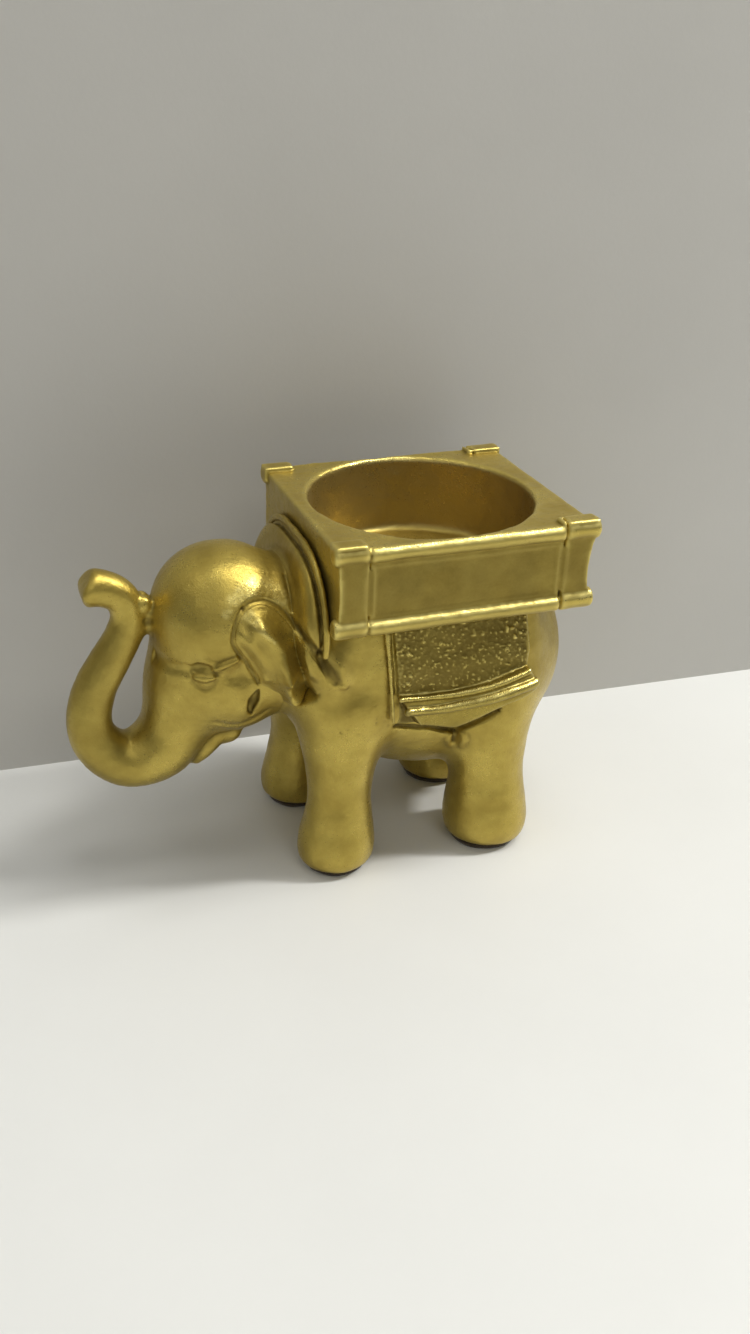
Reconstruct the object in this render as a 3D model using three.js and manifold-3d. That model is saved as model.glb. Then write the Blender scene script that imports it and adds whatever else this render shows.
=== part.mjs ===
// Elephant tealight holder: a small cast-resin elephant, trunk raised, carrying a
// square box with a round tealight cup on its back.
// Units are millimetres. +Z is up, the elephant faces -X, its left flank is -Y.
// The origin is on the table, under the middle of the overall length and width.
// Shapes are laid out from the cup's axis and moved along X at the end.
import * as THREE from "three";
import { mergeVertices } from "three/addons/utils/BufferGeometryUtils.js";
import Module from "manifold-3d";

const wasm = await Module();
wasm.setup();

// ---------------------------------------------------------------- dimensions
const CUP_X = 17.35; // cup axis, from the middle of the overall length
const GAP = 0.3; // glue line between two castings

const PAD_H = 0.8; // felt pad under each foot
const FRONT_PAD_R = 5.6;
const REAR_PAD_R = 6.3;

const BOX_TOP = 64; // flat top of the box above the table
const BOX_H = 15.3; // height of the box
const BOX_X = [-22.0, 23.0]; // front and rear end faces
const BOX_AY = 20.4; // half width over the recessed side panels
const CUP_R = 19.3; // cup wall radius at the floor, for a 38 mm tealight
const RIM_R = 19.6; // cup wall radius at the rim
const CUP_DEPTH = 14; // rim to cup floor

const POST_W = 5.4; // corner post, along the box
const POST_Y = 20.8; // half width over the posts
const ROLL_R = 1.3; // rolled moulding along the top and bottom of each side
const ROLL_Y = 19.9; // its axis
const CAP_R = 1.75; // end caps of the mouldings
const CAP_OUT = 0.6; // caps past the end faces
const CAP_Y = 21.2; // half width over the caps
const CAP_L = 6.0; // length of one cap

// ------------------------------------------------------------------- helpers
const rad = THREE.MathUtils.degToRad;

const solid = (geometry) => {
  const g = geometry.clone();
  for (const name of Object.keys(g.attributes)) if (name !== "position") g.deleteAttribute(name);
  const m = mergeVertices(g, 1e-4);
  const idx = m.index.array;
  const kept = [];
  for (let i = 0; i < idx.length; i += 3) {
    const [a, b, c] = [idx[i], idx[i + 1], idx[i + 2]];
    if (a !== b && b !== c && a !== c) kept.push(a, b, c);
  }
  const make = (tris) =>
    new wasm.Manifold(
      new wasm.Mesh({
        numProp: 3,
        vertProperties: new Float32Array(m.attributes.position.array),
        triVerts: new Uint32Array(tris),
      }),
    );
  let s = make(kept);
  if (s.volume() < 0) {
    for (let i = 0; i < kept.length; i += 3) [kept[i + 1], kept[i + 2]] = [kept[i + 2], kept[i + 1]];
    s = make(kept);
  }
  return s;
};
const join = (list) => list.reduce((a, b) => a.add(b));

// An ellipsoid turned by degrees about X, Y and Z, its skin moved out by grow.
const ball = ({ c, r, turn = [0, 0, 0], seg = [20, 14] }, grow = 0) => {
  const g = new THREE.SphereGeometry(1, seg[0], seg[1]);
  g.rotateX(Math.PI / 2);
  g.scale(r[0] + grow, r[1] + grow, r[2] + grow);
  g.rotateX(rad(turn[0]));
  g.rotateY(rad(turn[1]));
  g.rotateZ(rad(turn[2]));
  g.translate(...c);
  return solid(g);
};

// A limb: a lathe bent along a curve through [x, y, z, radius] points.
const limb = ({ points, around = 14, along = 16, flat = 1, blunt = [1, 1] }, grow = 0) => {
  const curve = new THREE.CatmullRomCurve3(points.map((p) => new THREE.Vector3(p[0], p[1], p[2])), false, "centripetal");
  const length = curve.getLength();
  const radiusAt = (u) => {
    const t = curve.getUtoTmapping(u) * (points.length - 1);
    const i = Math.min(points.length - 2, Math.floor(t));
    return THREE.MathUtils.lerp(points[i][3], points[i + 1][3], t - i) + grow;
  };
  const r0 = radiusAt(0);
  const r1 = radiusAt(1);
  const profile = [new THREE.Vector2(0, -r0 * blunt[0])];
  for (const a of [60, 30]) profile.push(new THREE.Vector2(r0 * Math.cos(rad(a)), -r0 * blunt[0] * Math.sin(rad(a))));
  for (let i = 0; i <= along; i++) profile.push(new THREE.Vector2(radiusAt(i / along), (length * i) / along));
  for (const a of [30, 60]) profile.push(new THREE.Vector2(r1 * Math.cos(rad(a)), length + r1 * blunt[1] * Math.sin(rad(a))));
  profile.push(new THREE.Vector2(0, length + r1 * blunt[1]));
  const g = new THREE.LatheGeometry(profile, around);
  const pos = g.attributes.position;
  const p = new THREE.Vector3();
  const side = new THREE.Vector3(0, 1, 0);
  for (let i = 0; i < pos.count; i++) {
    const h = pos.getY(i);
    const u = THREE.MathUtils.clamp(h / length, 0, 1);
    const t = curve.getTangentAt(u);
    const b = side.clone().addScaledVector(t, -side.dot(t));
    if (b.length() < 0.2) b.set(1, 0, 0).addScaledVector(t, -t.x);
    b.normalize();
    const n = b.clone().cross(t);
    p.copy(curve.getPointAt(u)).addScaledVector(t, h - u * length);
    p.addScaledVector(b, pos.getX(i) * flat).addScaledVector(n, pos.getZ(i));
    pos.setXYZ(i, p.x, p.y, p.z);
  }
  return solid(g);
};

// A leg turned about a vertical axis; profile holds [radius, z] from the sole up.
const leg = ({ x, y, profile, lean = 0, around = 18 }, grow = 0) => {
  const sole = profile[0];
  const pts = [new THREE.Vector2(0, sole[1] - grow)];
  for (const [r, z] of profile) pts.push(new THREE.Vector2(r + grow, z === sole[1] ? z - grow : z));
  const [r, z] = profile[profile.length - 1];
  for (const a of [25, 50, 75]) pts.push(new THREE.Vector2((r + grow) * Math.cos(rad(a)), z + (r + grow) * Math.sin(rad(a))));
  pts.push(new THREE.Vector2(0, z + r + grow));
  const g = new THREE.LatheGeometry(pts, around);
  g.rotateX(Math.PI / 2);
  const pos = g.attributes.position;
  for (let i = 0; i < pos.count; i++) {
    const up = pos.getZ(i);
    pos.setX(i, pos.getX(i) + lean * up);
    pos.setY(i, pos.getY(i) - Math.sign(y) * 0.1 * Math.max(0, up - 12));
  }
  g.translate(x, y, 0);
  return solid(g);
};
const block = (x0, x1, y0, y1, z0, z1) => {
  const g = new THREE.BoxGeometry(x1 - x0, y1 - y0, z1 - z0);
  g.translate((x0 + x1) / 2, (y0 + y1) / 2, (z0 + z1) / 2);
  return solid(g);
};
const drum = (rTop, rBottom, z0, z1, x = 0, y = 0, seg = 48) => {
  const g = new THREE.CylinderGeometry(rTop, rBottom, z1 - z0, seg);
  g.rotateX(Math.PI / 2);
  g.translate(x, y, (z0 + z1) / 2);
  return solid(g);
};
// A round bar along X.
const bar = (r, x0, x1, y, z, seg = 12) => {
  const g = new THREE.CylinderGeometry(r, r, x1 - x0, seg);
  g.rotateZ(Math.PI / 2);
  g.translate((x0 + x1) / 2, y, z);
  return solid(g);
};
// An outline in the YZ plane, pulled through from x0 to x1.
const slab = (outline, x0, x1) => {
  const shape = new THREE.Shape(outline.map(([y, z]) => new THREE.Vector2(y, z)));
  const g = new THREE.ExtrudeGeometry(shape, { depth: x1 - x0, bevelEnabled: false });
  g.rotateY(Math.PI / 2);
  g.rotateX(Math.PI / 2);
  g.translate(x0, 0, 0);
  return solid(g);
};
// An outline in the XZ plane, pulled through from y0 to y1.
const plate = (outline, y0, y1) => {
  const shape = new THREE.Shape(new THREE.SplineCurve(outline.map(([x, z]) => new THREE.Vector2(x, z))).getPoints(outline.length * 2));
  const g = new THREE.ExtrudeGeometry(shape, { depth: y1 - y0, bevelEnabled: false });
  g.rotateX(Math.PI / 2);
  g.translate(0, y1, 0);
  return solid(g);
};
// A tube of round section along a curve through [x, y, z] points.
const tube = (points, r, sides = 10, steps = 36) => {
  const path = new THREE.CatmullRomCurve3(points.map((p) => new THREE.Vector3(...p)));
  const shape = new THREE.Shape();
  shape.absarc(0, 0, r, 0, 2 * Math.PI);
  return solid(new THREE.ExtrudeGeometry(new THREE.Shape(shape.getPoints(sides / 4)), { steps, extrudePath: path, bevelEnabled: false }));
};

// ---------------------------------------------------------------------- body
const BARREL = { c: [2, 0, 34], r: [24, 16.6, 20.9] };
const RUMP = { c: [10.6, 0, 34], r: [15.8, 16.2, 16] };
const SHOULDERS = { c: [-14, 0, 35], r: [13, 16.2, 16] };
const HUMP = { c: [-21, 0, 43], r: [6.6, 18.4, 15.2] };
const NECK = { c: [-26, 0, 42.5], r: [10, 12.5, 12.6] };
const SEAT = { c: [-1, 0, 43], r: [22, 17.2, 11] };

// The blanket stands up in front of the box as a wide flat arch.
const archPoint = (a, out = 0) => {
  const c = Math.cos(a);
  const s = Math.sin(a);
  return [-(17.6 + out) * Math.sign(c) * Math.abs(c) ** 0.62, 43.5 + (14.6 + out) * Math.abs(s) ** 0.8];
};
const arch = (out, steps, from = 0) => Array.from({ length: steps + 1 }, (_, i) => archPoint(rad(from + ((180 - 2 * from) * i) / steps), out));
const ARCH = [-25.6, BOX_X[0] - GAP]; // front and back of the arch

const FRONT_FOOT = { x: -18.4, y: 11.5, lean: 0.05 };
const REAR_FOOT = { x: 11.0, y: 11.8, lean: 0 };
const SOLE = PAD_H + GAP;
const FRONT_LEG = [
  [5.9, SOLE],
  [6.7, 2.2],
  [7.0, 4],
  [6.5, 7.5],
  [5.8, 11],
  [5.5, 14.5],
  [6.1, 19],
  [7.5, 25],
  [8.2, 32],
];
const REAR_LEG = [
  [6.6, SOLE],
  [7.6, 2.4],
  [7.9, 4.5],
  [7.4, 8],
  [6.9, 12],
  [7.1, 16],
  [7.8, 21],
  [8.6, 27],
  [9.0, 33],
];
const TAIL = {
  points: [
    [25.2, 0, 41, 1.6],
    [26.4, 0, 35, 1.5],
    [26.0, 0, 29, 1.3],
    [24.5, 0, 23.5, 1.3],
    [23.6, 0, 20.8, 1.9],
    [22.9, 0, 18.6, 1.2],
  ],
  around: 10,
  along: 12,
};
const bodyShape = (grow = 0) =>
  join([
    slab(arch(grow, 20), ARCH[0] - grow, ARCH[1]),
    ...[BARREL, RUMP, SHOULDERS, HUMP, NECK, SEAT].map((b) => ball(b, grow)),
    ...[-1, 1].flatMap((s) => [
      leg({ ...FRONT_FOOT, y: s * FRONT_FOOT.y, profile: FRONT_LEG }, grow),
      leg({ ...REAR_FOOT, y: s * REAR_FOOT.y, profile: REAR_LEG }, grow),
    ]),
  ]);
const boxRoom = block(BOX_X[0] - GAP, 60, -40, 40, BOX_TOP - BOX_H - GAP, 90);
const bodyGrown = bodyShape(GAP);
const body = bodyShape().add(limb(TAIL)).subtract(boxRoom);

// ---------------------------------------------------------------------- head
const DOME = { c: [-35.6, 0, 46.6], r: [12.2, 12.3, 12.3] };
const CHEEKS = { c: [-35, 0, 36.5], r: [11.5, 11.2, 12.5] };
const LIP = { c: [-37.2, 0, 24.3], r: [4.2, 3.4, 3.2], turn: [0, -25, 0], seg: [14, 10] };
const TRUNK = {
  points: [
    [-38, 0, 42, 8.6],
    [-41.3, 0, 36, 7.8],
    [-42.6, 0, 30, 6.9],
    [-44.6, 0, 25.4, 6.2],
    [-48.0, 0, 22, 5.8],
    [-52.2, 0, 21, 5.2],
    [-56, 0, 22.8, 4.5],
    [-58.4, 0, 26.6, 4.0],
    [-58.7, 0, 31, 3.7],
    [-57.1, 0, 36, 3.5],
    [-54.4, 0, 40.6, 3.3],
    [-52.1, 0, 44.6, 3.0],
    [-51.2, 0, 48.6, 2.9],
    [-52.4, 0, 51.9, 2.9],
    [-55, 0, 53.4, 3.0],
    [-58.0, 0, 53.8, 3.2],
  ],
  around: 14,
  along: 44,
  blunt: [1, 0.25],
};
const headShape = (grow = 0) => join([ball(DOME, grow), ball(CHEEKS, grow), ball(LIP, grow), limb(TRUNK, grow)]);
const head = headShape().subtract(bodyGrown);

// ---------------------------------------------------------------------- ears
const EAR = [
  [-36.6, 52.9],
  [-32.4, 54.2],
  [-28.2, 52.0],
  [-24.2, 47.4],
  [-21.8, 42.0],
  [-20.6, 38.6],
  [-22.6, 36.2],
  [-26.4, 34.8],
  [-28.4, 36.4],
  [-31.0, 38.6],
  [-33.4, 41.4],
  [-35.8, 45.8],
  [-37.6, 50.4],
];
const earCutter = headShape(GAP).add(bodyGrown);
const ear = (s) => {
  const yTop = s < 0 ? [-13.8, -8] : [8, 13.8];
  return plate(EAR, ...yTop).subtract(earCutter);
};

// ----------------------------------------------------------- blanket collar
const COLLAR_R = 1.15;
const COLLAR_X = ARCH[1] - 1.4;
const collar = tube(
  arch(0.9, 24, 6).map(([y, z]) => [COLLAR_X, y, z]),
  COLLAR_R,
  12,
  40,
)
  .subtract(bodyGrown)
  .subtract(block(BOX_X[0] - CAP_OUT - GAP, 0, -40, 40, 30, 90));

// ------------------------------------------------------------ saddle panels
const PANEL_X = [-10.8, 15.0];
const PANEL_Z = [28.6, BOX_TOP - BOX_H - GAP];
const panelShell = bodyShape(1.35).subtract(bodyGrown);
const hem = (s) =>
  join([
    tube([[-9.4, s * 17.0, 34.6], [-2, s * 17.5, 34.1], [6, s * 17.3, 34.3], [14.6, s * 16.4, 36.1]], 0.8, 12, 12),
    tube([[-8.2, s * 17.3, 32.3], [-2, s * 17.7, 32.1], [7, s * 17.6, 32.8], [16.0, s * 16.6, 34.2]], 1.05, 12, 12),
  ]);
const saddle = (s) => {
  const y = s < 0 ? [-30, -10] : [10, 30];
  const cloth = panelShell.intersect(block(...PANEL_X, ...y, ...PANEL_Z));
  return cloth.add(hem(s).subtract(bodyGrown));
};

// ---------------------------------------------------------------- howdah box
const Z0 = BOX_TOP - BOX_H;
const howdahBox = () => {
  const [x0, x1] = BOX_X;
  const parts = [block(x0, x1, -BOX_AY, BOX_AY, Z0, BOX_TOP)];
  const posts = [
    [x0, x0 + POST_W, x0 - CAP_OUT, x0 - CAP_OUT + CAP_L],
    [x1 - POST_W, x1, x1 + CAP_OUT - CAP_L, x1 + CAP_OUT],
  ];
  for (const s of [-1, 1]) {
    for (const z of [BOX_TOP - ROLL_R + 0.25, Z0 + ROLL_R]) parts.push(bar(ROLL_R, x0 + POST_W, x1 - POST_W, s * ROLL_Y, z));
    for (const [p0, p1, c0, c1] of posts) {
      parts.push(block(p0, p1, Math.min(s * 20.1, s * POST_Y), Math.max(s * 20.1, s * POST_Y), Z0 + 1, BOX_TOP - 1));
      for (const z of [BOX_TOP - CAP_R + 0.8, Z0 + CAP_R]) parts.push(bar(CAP_R, c0, c1, s * (CAP_Y - CAP_R), z));
    }
  }
  return join(parts)
    .subtract(drum(RIM_R, CUP_R, BOX_TOP - CUP_DEPTH, BOX_TOP))
    .subtract(drum(RIM_R, RIM_R, BOX_TOP - 0.01, BOX_TOP + 5));
};

// ------------------------------------------------------------------ assembly
const group = new THREE.Group();
const add = (name, s, color = 0x9c8438, roughness = 0.42, metalness = 0.85) => {
  const m = s.getMesh();
  const n = m.numProp;
  const v = new Float32Array(m.numVert * 3);
  for (let i = 0; i < m.numVert; i++) v.set(m.vertProperties.subarray(i * n, i * n + 3), i * 3);
  const g = new THREE.BufferGeometry();
  g.setAttribute("position", new THREE.BufferAttribute(v, 3));
  g.setIndex(new THREE.BufferAttribute(new Uint32Array(m.triVerts), 1));
  g.computeVertexNormals();
  const mesh = new THREE.Mesh(g, new THREE.MeshStandardMaterial({ color, roughness, metalness }));
  mesh.name = name;
  group.add(mesh);
};
add("body_casting", body);
add("head_and_trunk", head);
add("left_ear", ear(-1));
add("right_ear", ear(1));
add("howdah_box", howdahBox());
add("blanket_collar", collar);
add("left_saddle_panel", saddle(-1));
add("right_saddle_panel", saddle(1));
const pad = (x, y, r) => drum(r, r, 0, PAD_H, x, y, 24);
add("front_left_foot_pad", pad(FRONT_FOOT.x, -FRONT_FOOT.y, FRONT_PAD_R), 0x4a3a28, 0.9, 0);
add("front_right_foot_pad", pad(FRONT_FOOT.x, FRONT_FOOT.y, FRONT_PAD_R), 0x4a3a28, 0.9, 0);
add("rear_left_foot_pad", pad(REAR_FOOT.x, -REAR_FOOT.y, REAR_PAD_R), 0x4a3a28, 0.9, 0);
add("rear_right_foot_pad", pad(REAR_FOOT.x, REAR_FOOT.y, REAR_PAD_R), 0x4a3a28, 0.9, 0);
group.position.x = CUP_X;

export default group;
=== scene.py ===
# Gold elephant tealight holder: the visual model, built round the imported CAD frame.
# Shapes are sculpted as distance fields in millimetres (x from the cup axis, the
# elephant faces -x, its left flank is -y, z up from the table), meshed, and moved
# into the frame's metres.
import math
import time

import bmesh
import bpy
import numpy as np
from mathutils import Matrix, Vector


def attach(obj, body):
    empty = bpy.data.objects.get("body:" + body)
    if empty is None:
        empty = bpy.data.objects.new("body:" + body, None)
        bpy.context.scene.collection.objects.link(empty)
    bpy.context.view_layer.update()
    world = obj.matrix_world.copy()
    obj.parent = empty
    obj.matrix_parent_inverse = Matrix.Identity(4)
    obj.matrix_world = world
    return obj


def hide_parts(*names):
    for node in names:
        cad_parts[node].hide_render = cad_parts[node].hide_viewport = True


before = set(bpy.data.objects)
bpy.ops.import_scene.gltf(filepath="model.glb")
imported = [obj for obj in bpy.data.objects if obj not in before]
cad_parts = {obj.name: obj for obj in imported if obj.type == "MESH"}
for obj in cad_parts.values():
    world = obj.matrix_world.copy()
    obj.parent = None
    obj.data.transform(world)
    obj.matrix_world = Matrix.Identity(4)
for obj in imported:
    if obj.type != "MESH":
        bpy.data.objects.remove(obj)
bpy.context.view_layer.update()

CUP_X = 17.35
FINE = 1.0  # grid scale: 1 is the finished surface

# ------------------------------------------------------------------ field tools
f32 = np.float32


def smin(a, b, k):
    if k <= 0:
        return np.minimum(a, b)
    h = np.maximum(k - np.abs(a - b), 0) / k
    return np.minimum(a, b) - h * h * (k * 0.25)


def smax(a, b, k):
    return -smin(-a, -b, k)


def clamp(v, lo=0.0, hi=1.0):
    return np.minimum(np.maximum(v, lo), hi)


def step(e0, e1, v):
    t = clamp((v - e0) / (e1 - e0))
    return t * t * (3 - 2 * t)


def bell(d, w):
    return np.exp(-((d / w) ** 2))


class Vol:
    """A distance field on a regular grid. A mirrored one holds only y <= 0."""

    def __init__(self, lo, hi, h, mirror=True):
        self.h, self.mirror = h, mirror
        self.x = (lo[0] + h * np.arange(int(math.ceil((hi[0] - lo[0]) / h)) + 1)).astype(f32)
        if mirror:
            n = int(math.ceil(-lo[1] / h))
            self.y = (h * np.arange(-n, 1)).astype(f32)
        else:
            self.y = (lo[1] + h * np.arange(int(math.ceil((hi[1] - lo[1]) / h)) + 1)).astype(f32)
        self.z = (lo[2] + h * np.arange(int(math.ceil((hi[2] - lo[2]) / h)) + 1)).astype(f32)
        self.F = np.full((len(self.x), len(self.y), len(self.z)), 40.0, f32)

    def win(self, lo, hi, pad):
        out = []
        for axis, a, b in zip((self.x, self.y, self.z), lo, hi):
            i0 = int(np.searchsorted(axis, a - pad))
            i1 = int(np.searchsorted(axis, b + pad))
            out.append(slice(i0, max(i1, i0)))
        sx, sy, sz = out
        return (sx, sy, sz), self.x[sx][:, None, None], self.y[sy][None, :, None], self.z[sz][None, None, :]

    def grid(self):
        return self.x[:, None, None], self.y[None, :, None], self.z[None, None, :]

    def full(self):
        if not self.mirror:
            return self.F, np.array([self.x[0], self.y[0], self.z[0]], float)
        return (
            np.concatenate([self.F, self.F[:, -2::-1, :]], axis=1),
            np.array([self.x[0], self.y[0], self.z[0]], float),
        )

    def add(self, part, k, pad=5.0):
        fn, lo, hi = part
        sl, X, Y, Z = self.win(lo, hi, pad + k)
        if min(s.stop - s.start for s in sl) > 0:
            self.F[sl] = smin(self.F[sl], fn(X, Y, Z).astype(f32), k)

    def cut(self, part, k, pad=1.5):
        fn, lo, hi = part
        sl, X, Y, Z = self.win(lo, hi, pad + k)
        if min(s.stop - s.start for s in sl) > 0:
            self.F[sl] = smax(self.F[sl], -fn(X, Y, Z).astype(f32), k)

    # Features drawn on the surface: a tube round the curve where the field's own
    # skin, lifted by rise, meets the vertical curtain over a line in x and z.
    def _on_skin(self, line, r, rise, ymax):
        line = np.asarray(line, float)
        lo = [line[:, 0].min(), -60, line[:, 1].min()]
        hi = [line[:, 0].max(), ymax, line[:, 1].max()]
        rr = float(np.max(r)) if np.ndim(r) else r
        sl, X, Y, Z = self.win(lo, hi, rr + 2.0)
        D, T = dist_line(line, self.x[sl[0]], self.z[sl[2]])
        R = r if np.ndim(r) == 0 else np.interp(T, np.linspace(0, 1, len(r)), r)
        R = np.asarray(R, f32)
        if R.ndim == 2:
            R = R[:, None, :]
        if np.ndim(rise):
            rise = np.interp(T, np.linspace(0, 1, len(rise)), rise).astype(f32)[:, None, :]
        G = self.F[sl]
        d = np.sqrt(D[:, None, :] ** 2 + (G - rise) ** 2) - R
        d = np.where(Y <= ymax, d, 40.0)
        return sl, d

    def ridge(self, line, r, rise=0.0, k=0.5, ymax=-1.5):
        sl, d = self._on_skin(line, r, rise, ymax)
        self.F[sl] = smin(self.F[sl], d.astype(f32), k)

    def groove(self, line, r, rise=0.0, k=0.5, ymax=-1.5):
        sl, d = self._on_skin(line, r, rise, ymax)
        self.F[sl] = smax(self.F[sl], -d.astype(f32), k)


def dist_line(line, xs, zs):
    """Distance in x and z to a polyline, and how far along it the nearest point is."""
    line = np.asarray(line, float)
    X, Z = np.meshgrid(xs.astype(float), zs.astype(float), indexing="ij")
    seg = np.diff(line, axis=0)
    L = np.hypot(seg[:, 0], seg[:, 1])
    cum = np.concatenate([[0], np.cumsum(L)])
    best = np.full(X.shape, 1e9)
    along = np.zeros(X.shape)
    for i, (p, s, l) in enumerate(zip(line[:-1], seg, L)):
        if l < 1e-9:
            continue
        t = clamp(((X - p[0]) * s[0] + (Z - p[1]) * s[1]) / (l * l))
        d = np.hypot(X - p[0] - t * s[0], Z - p[1] - t * s[1])
        m = d < best
        best[m] = d[m]
        along[m] = ((cum[i] + t * l) / cum[-1])[m]
    return best.astype(f32), along.astype(f32)


def side_of(line, xs, zs):
    """Signed distance to an open line, positive to its right hand as it runs."""
    line = np.asarray(line, float)
    X, Z = np.meshgrid(xs.astype(float), zs.astype(float), indexing="ij")
    best = np.full(X.shape, 1e9)
    sign = np.ones(X.shape)
    for i in range(len(line) - 1):
        p, q = line[i], line[i + 1]
        s = q - p
        l2 = float(s @ s)
        t = ((X - p[0]) * s[0] + (Z - p[1]) * s[1]) / l2
        lo = -1e9 if i == 0 else 0.0
        hi = 1e9 if i == len(line) - 2 else 1.0
        t = clamp(t, lo, hi)
        ex, ez = X - p[0] - t * s[0], Z - p[1] - t * s[1]
        d = np.hypot(ex, ez)
        c = ex * s[1] - ez * s[0]
        m = d < best - 1e-9
        best[m] = d[m]
        sign[m] = np.sign(c)[m]
    return (best * np.where(sign == 0, 1, sign)).astype(f32)


def inside_outline(poly, xs, zs):
    """Signed distance to a closed outline in x and z, negative inside."""
    poly = np.asarray(poly, float)
    closed = np.vstack([poly, poly[:1]])
    D, _ = dist_line(closed, xs, zs)
    X, Z = np.meshgrid(xs.astype(float), zs.astype(float), indexing="ij")
    ins = np.zeros(X.shape, bool)
    for (x0, z0), (x1, z1) in zip(closed[:-1], closed[1:]):
        if z0 == z1:
            continue
        c = ((z0 > Z) != (z1 > Z)) & (X < (x1 - x0) * (Z - z0) / (z1 - z0) + x0)
        ins ^= c
    return np.where(ins, -D, D).astype(f32)


def smooth_line(points, n=8, closed=False):
    """Catmull-Rom through the points, any number of columns."""
    p = np.asarray(points, float)
    if closed:
        q = np.vstack([p[-1:], p, p[:2]])
    else:
        q = np.vstack([2 * p[0] - p[1], p, 2 * p[-1] - p[-2]])
    out = []
    for i in range(1, len(q) - 2):
        for t in np.linspace(0, 1, n, endpoint=False):
            a, b, c, d = q[i - 1], q[i], q[i + 1], q[i + 2]
            out.append(0.5 * ((2 * b) + (-a + c) * t + (2 * a - 5 * b + 4 * c - d) * t**2 + (-a + 3 * b - 3 * c + d) * t**3))
    if not closed:
        out.append(q[-2])
    return np.array(out)


# ----------------------------------------------------------------- solid pieces
def turned(turn):
    m = np.eye(3)
    for axis, deg in enumerate(turn):
        a = math.radians(deg)
        c, s = math.cos(a), math.sin(a)
        r = np.eye(3)
        i, j = [(1, 2), (2, 0), (0, 1)][axis]
        r[i, i], r[i, j], r[j, i], r[j, j] = c, -s, s, c
        m = r @ m
    return m


def ball(c, r, turn=None):
    c, r = np.array(c, float), np.array(r, float)
    reach = np.full(3, r.max()) if turn else r
    M = turned(turn) if turn else None

    def fn(X, Y, Z):
        x, y, z = X - c[0], Y - c[1], Z - c[2]
        if M is not None:
            x, y, z = (
                M[0, 0] * x + M[1, 0] * y + M[2, 0] * z,
                M[0, 1] * x + M[1, 1] * y + M[2, 1] * z,
                M[0, 2] * x + M[1, 2] * y + M[2, 2] * z,
            )
        k0 = np.sqrt((x / r[0]) ** 2 + (y / r[1]) ** 2 + (z / r[2]) ** 2)
        k1 = np.sqrt((x / r[0] ** 2) ** 2 + (y / r[1] ** 2) ** 2 + (z / r[2] ** 2) ** 2) + 1e-9
        return k0 * (k0 - 1) / k1

    return fn, c - reach, c + reach


def rbox(lo, hi, r):
    """A box with edges rounded to radius r."""
    lo, hi = np.array(lo, float), np.array(hi, float)
    c, h = (lo + hi) / 2, (hi - lo) / 2 - r

    def fn(X, Y, Z):
        qx, qy, qz = np.abs(X - c[0]) - h[0], np.abs(Y - c[1]) - h[1], np.abs(Z - c[2]) - h[2]
        out = np.sqrt(np.maximum(qx, 0) ** 2 + np.maximum(qy, 0) ** 2 + np.maximum(qz, 0) ** 2)
        return out + np.minimum(np.maximum(np.maximum(qx, qy), qz), 0) - r

    return fn, lo, hi


def rod(a, b, ra, rb=None):
    """A bar with round ends, from radius ra at a to rb at b."""
    a, b = np.array(a, float), np.array(b, float)
    rb = ra if rb is None else rb
    d = b - a
    l2 = float(d @ d) + 1e-12

    def fn(X, Y, Z):
        t = clamp(((X - a[0]) * d[0] + (Y - a[1]) * d[1] + (Z - a[2]) * d[2]) / l2)
        return np.sqrt((X - a[0] - t * d[0]) ** 2 + (Y - a[1] - t * d[1]) ** 2 + (Z - a[2] - t * d[2]) ** 2) - (ra + (rb - ra) * t)

    r = max(ra, rb)
    return fn, np.minimum(a, b) - r, np.maximum(a, b) + r


def limb(points, n=6, flat=1.0, pad=5.0):
    """A tube through [x, y, z, radius] points, evaluated piece by piece. flat squeezes it across y."""
    p = smooth_line(points, n)
    lo = (p[:, :3] - p[:, 3:4]).min(0)
    hi = (p[:, :3] + p[:, 3:4]).max(0)

    def fn(X, Y, Z):
        xs, ys, zs = X.ravel(), Y.ravel(), Z.ravel()
        out = np.full((len(xs), len(ys), len(zs)), 30.0, f32)
        for a, b in zip(p[:-1], p[1:]):
            r = max(a[3], b[3]) + pad
            sl = []
            for axis, v in enumerate((xs, ys, zs)):
                e = r / (flat if axis == 1 else 1.0)
                i0 = int(np.searchsorted(v, min(a[axis], b[axis]) - e))
                i1 = int(np.searchsorted(v, max(a[axis], b[axis]) + e))
                sl.append(slice(i0, i1))
            if min(s.stop - s.start for s in sl) <= 0:
                continue
            sl = tuple(sl)
            x, y, z = X[sl[0]], Y[:, sl[1]] * flat, Z[:, :, sl[2]]
            d = b[:3] - a[:3]
            l2 = float(d @ d) + 1e-12
            t = clamp(((x - a[0]) * d[0] + (y - a[1] * flat) * d[1] + (z - a[2]) * d[2]) / l2)
            q = np.sqrt((x - a[0] - t * d[0]) ** 2 + (y - a[1] * flat - t * d[1]) ** 2 + (z - a[2] - t * d[2]) ** 2)
            q = q - (a[3] + (b[3] - a[3]) * t)
            out[sl] = np.minimum(out[sl], q.astype(f32))
        return out

    return fn, lo, hi


def leg(x, y, profile, lean, tuck, edge=2.0):
    """A leg round a vertical line. profile holds [radius, z] from the sole up."""
    pr = smooth_line(profile, 6)
    top = pr[-1, 1]
    sole = pr[0, 1]
    rmax = pr[:, 0].max()

    def fn(X, Y, Z):
        r = np.interp(Z, pr[:, 1], pr[:, 0])
        slope = np.interp(Z, pr[:, 1], np.gradient(pr[:, 0], pr[:, 1]))
        cx = x + lean * Z
        cy = y + tuck * np.maximum(0, Z - 12)
        d = (np.sqrt((X - cx) ** 2 + (Y - cy) ** 2) - r) / np.sqrt(1 + slope**2)
        d = smax(d, sole - Z, edge)
        return smax(d, Z - top, 3.0)

    return fn, np.array([x + min(0, lean * top) - rmax, y - rmax, sole]), np.array([x + max(0, lean * top) + rmax, y + rmax + abs(tuck) * top, top])


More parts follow.
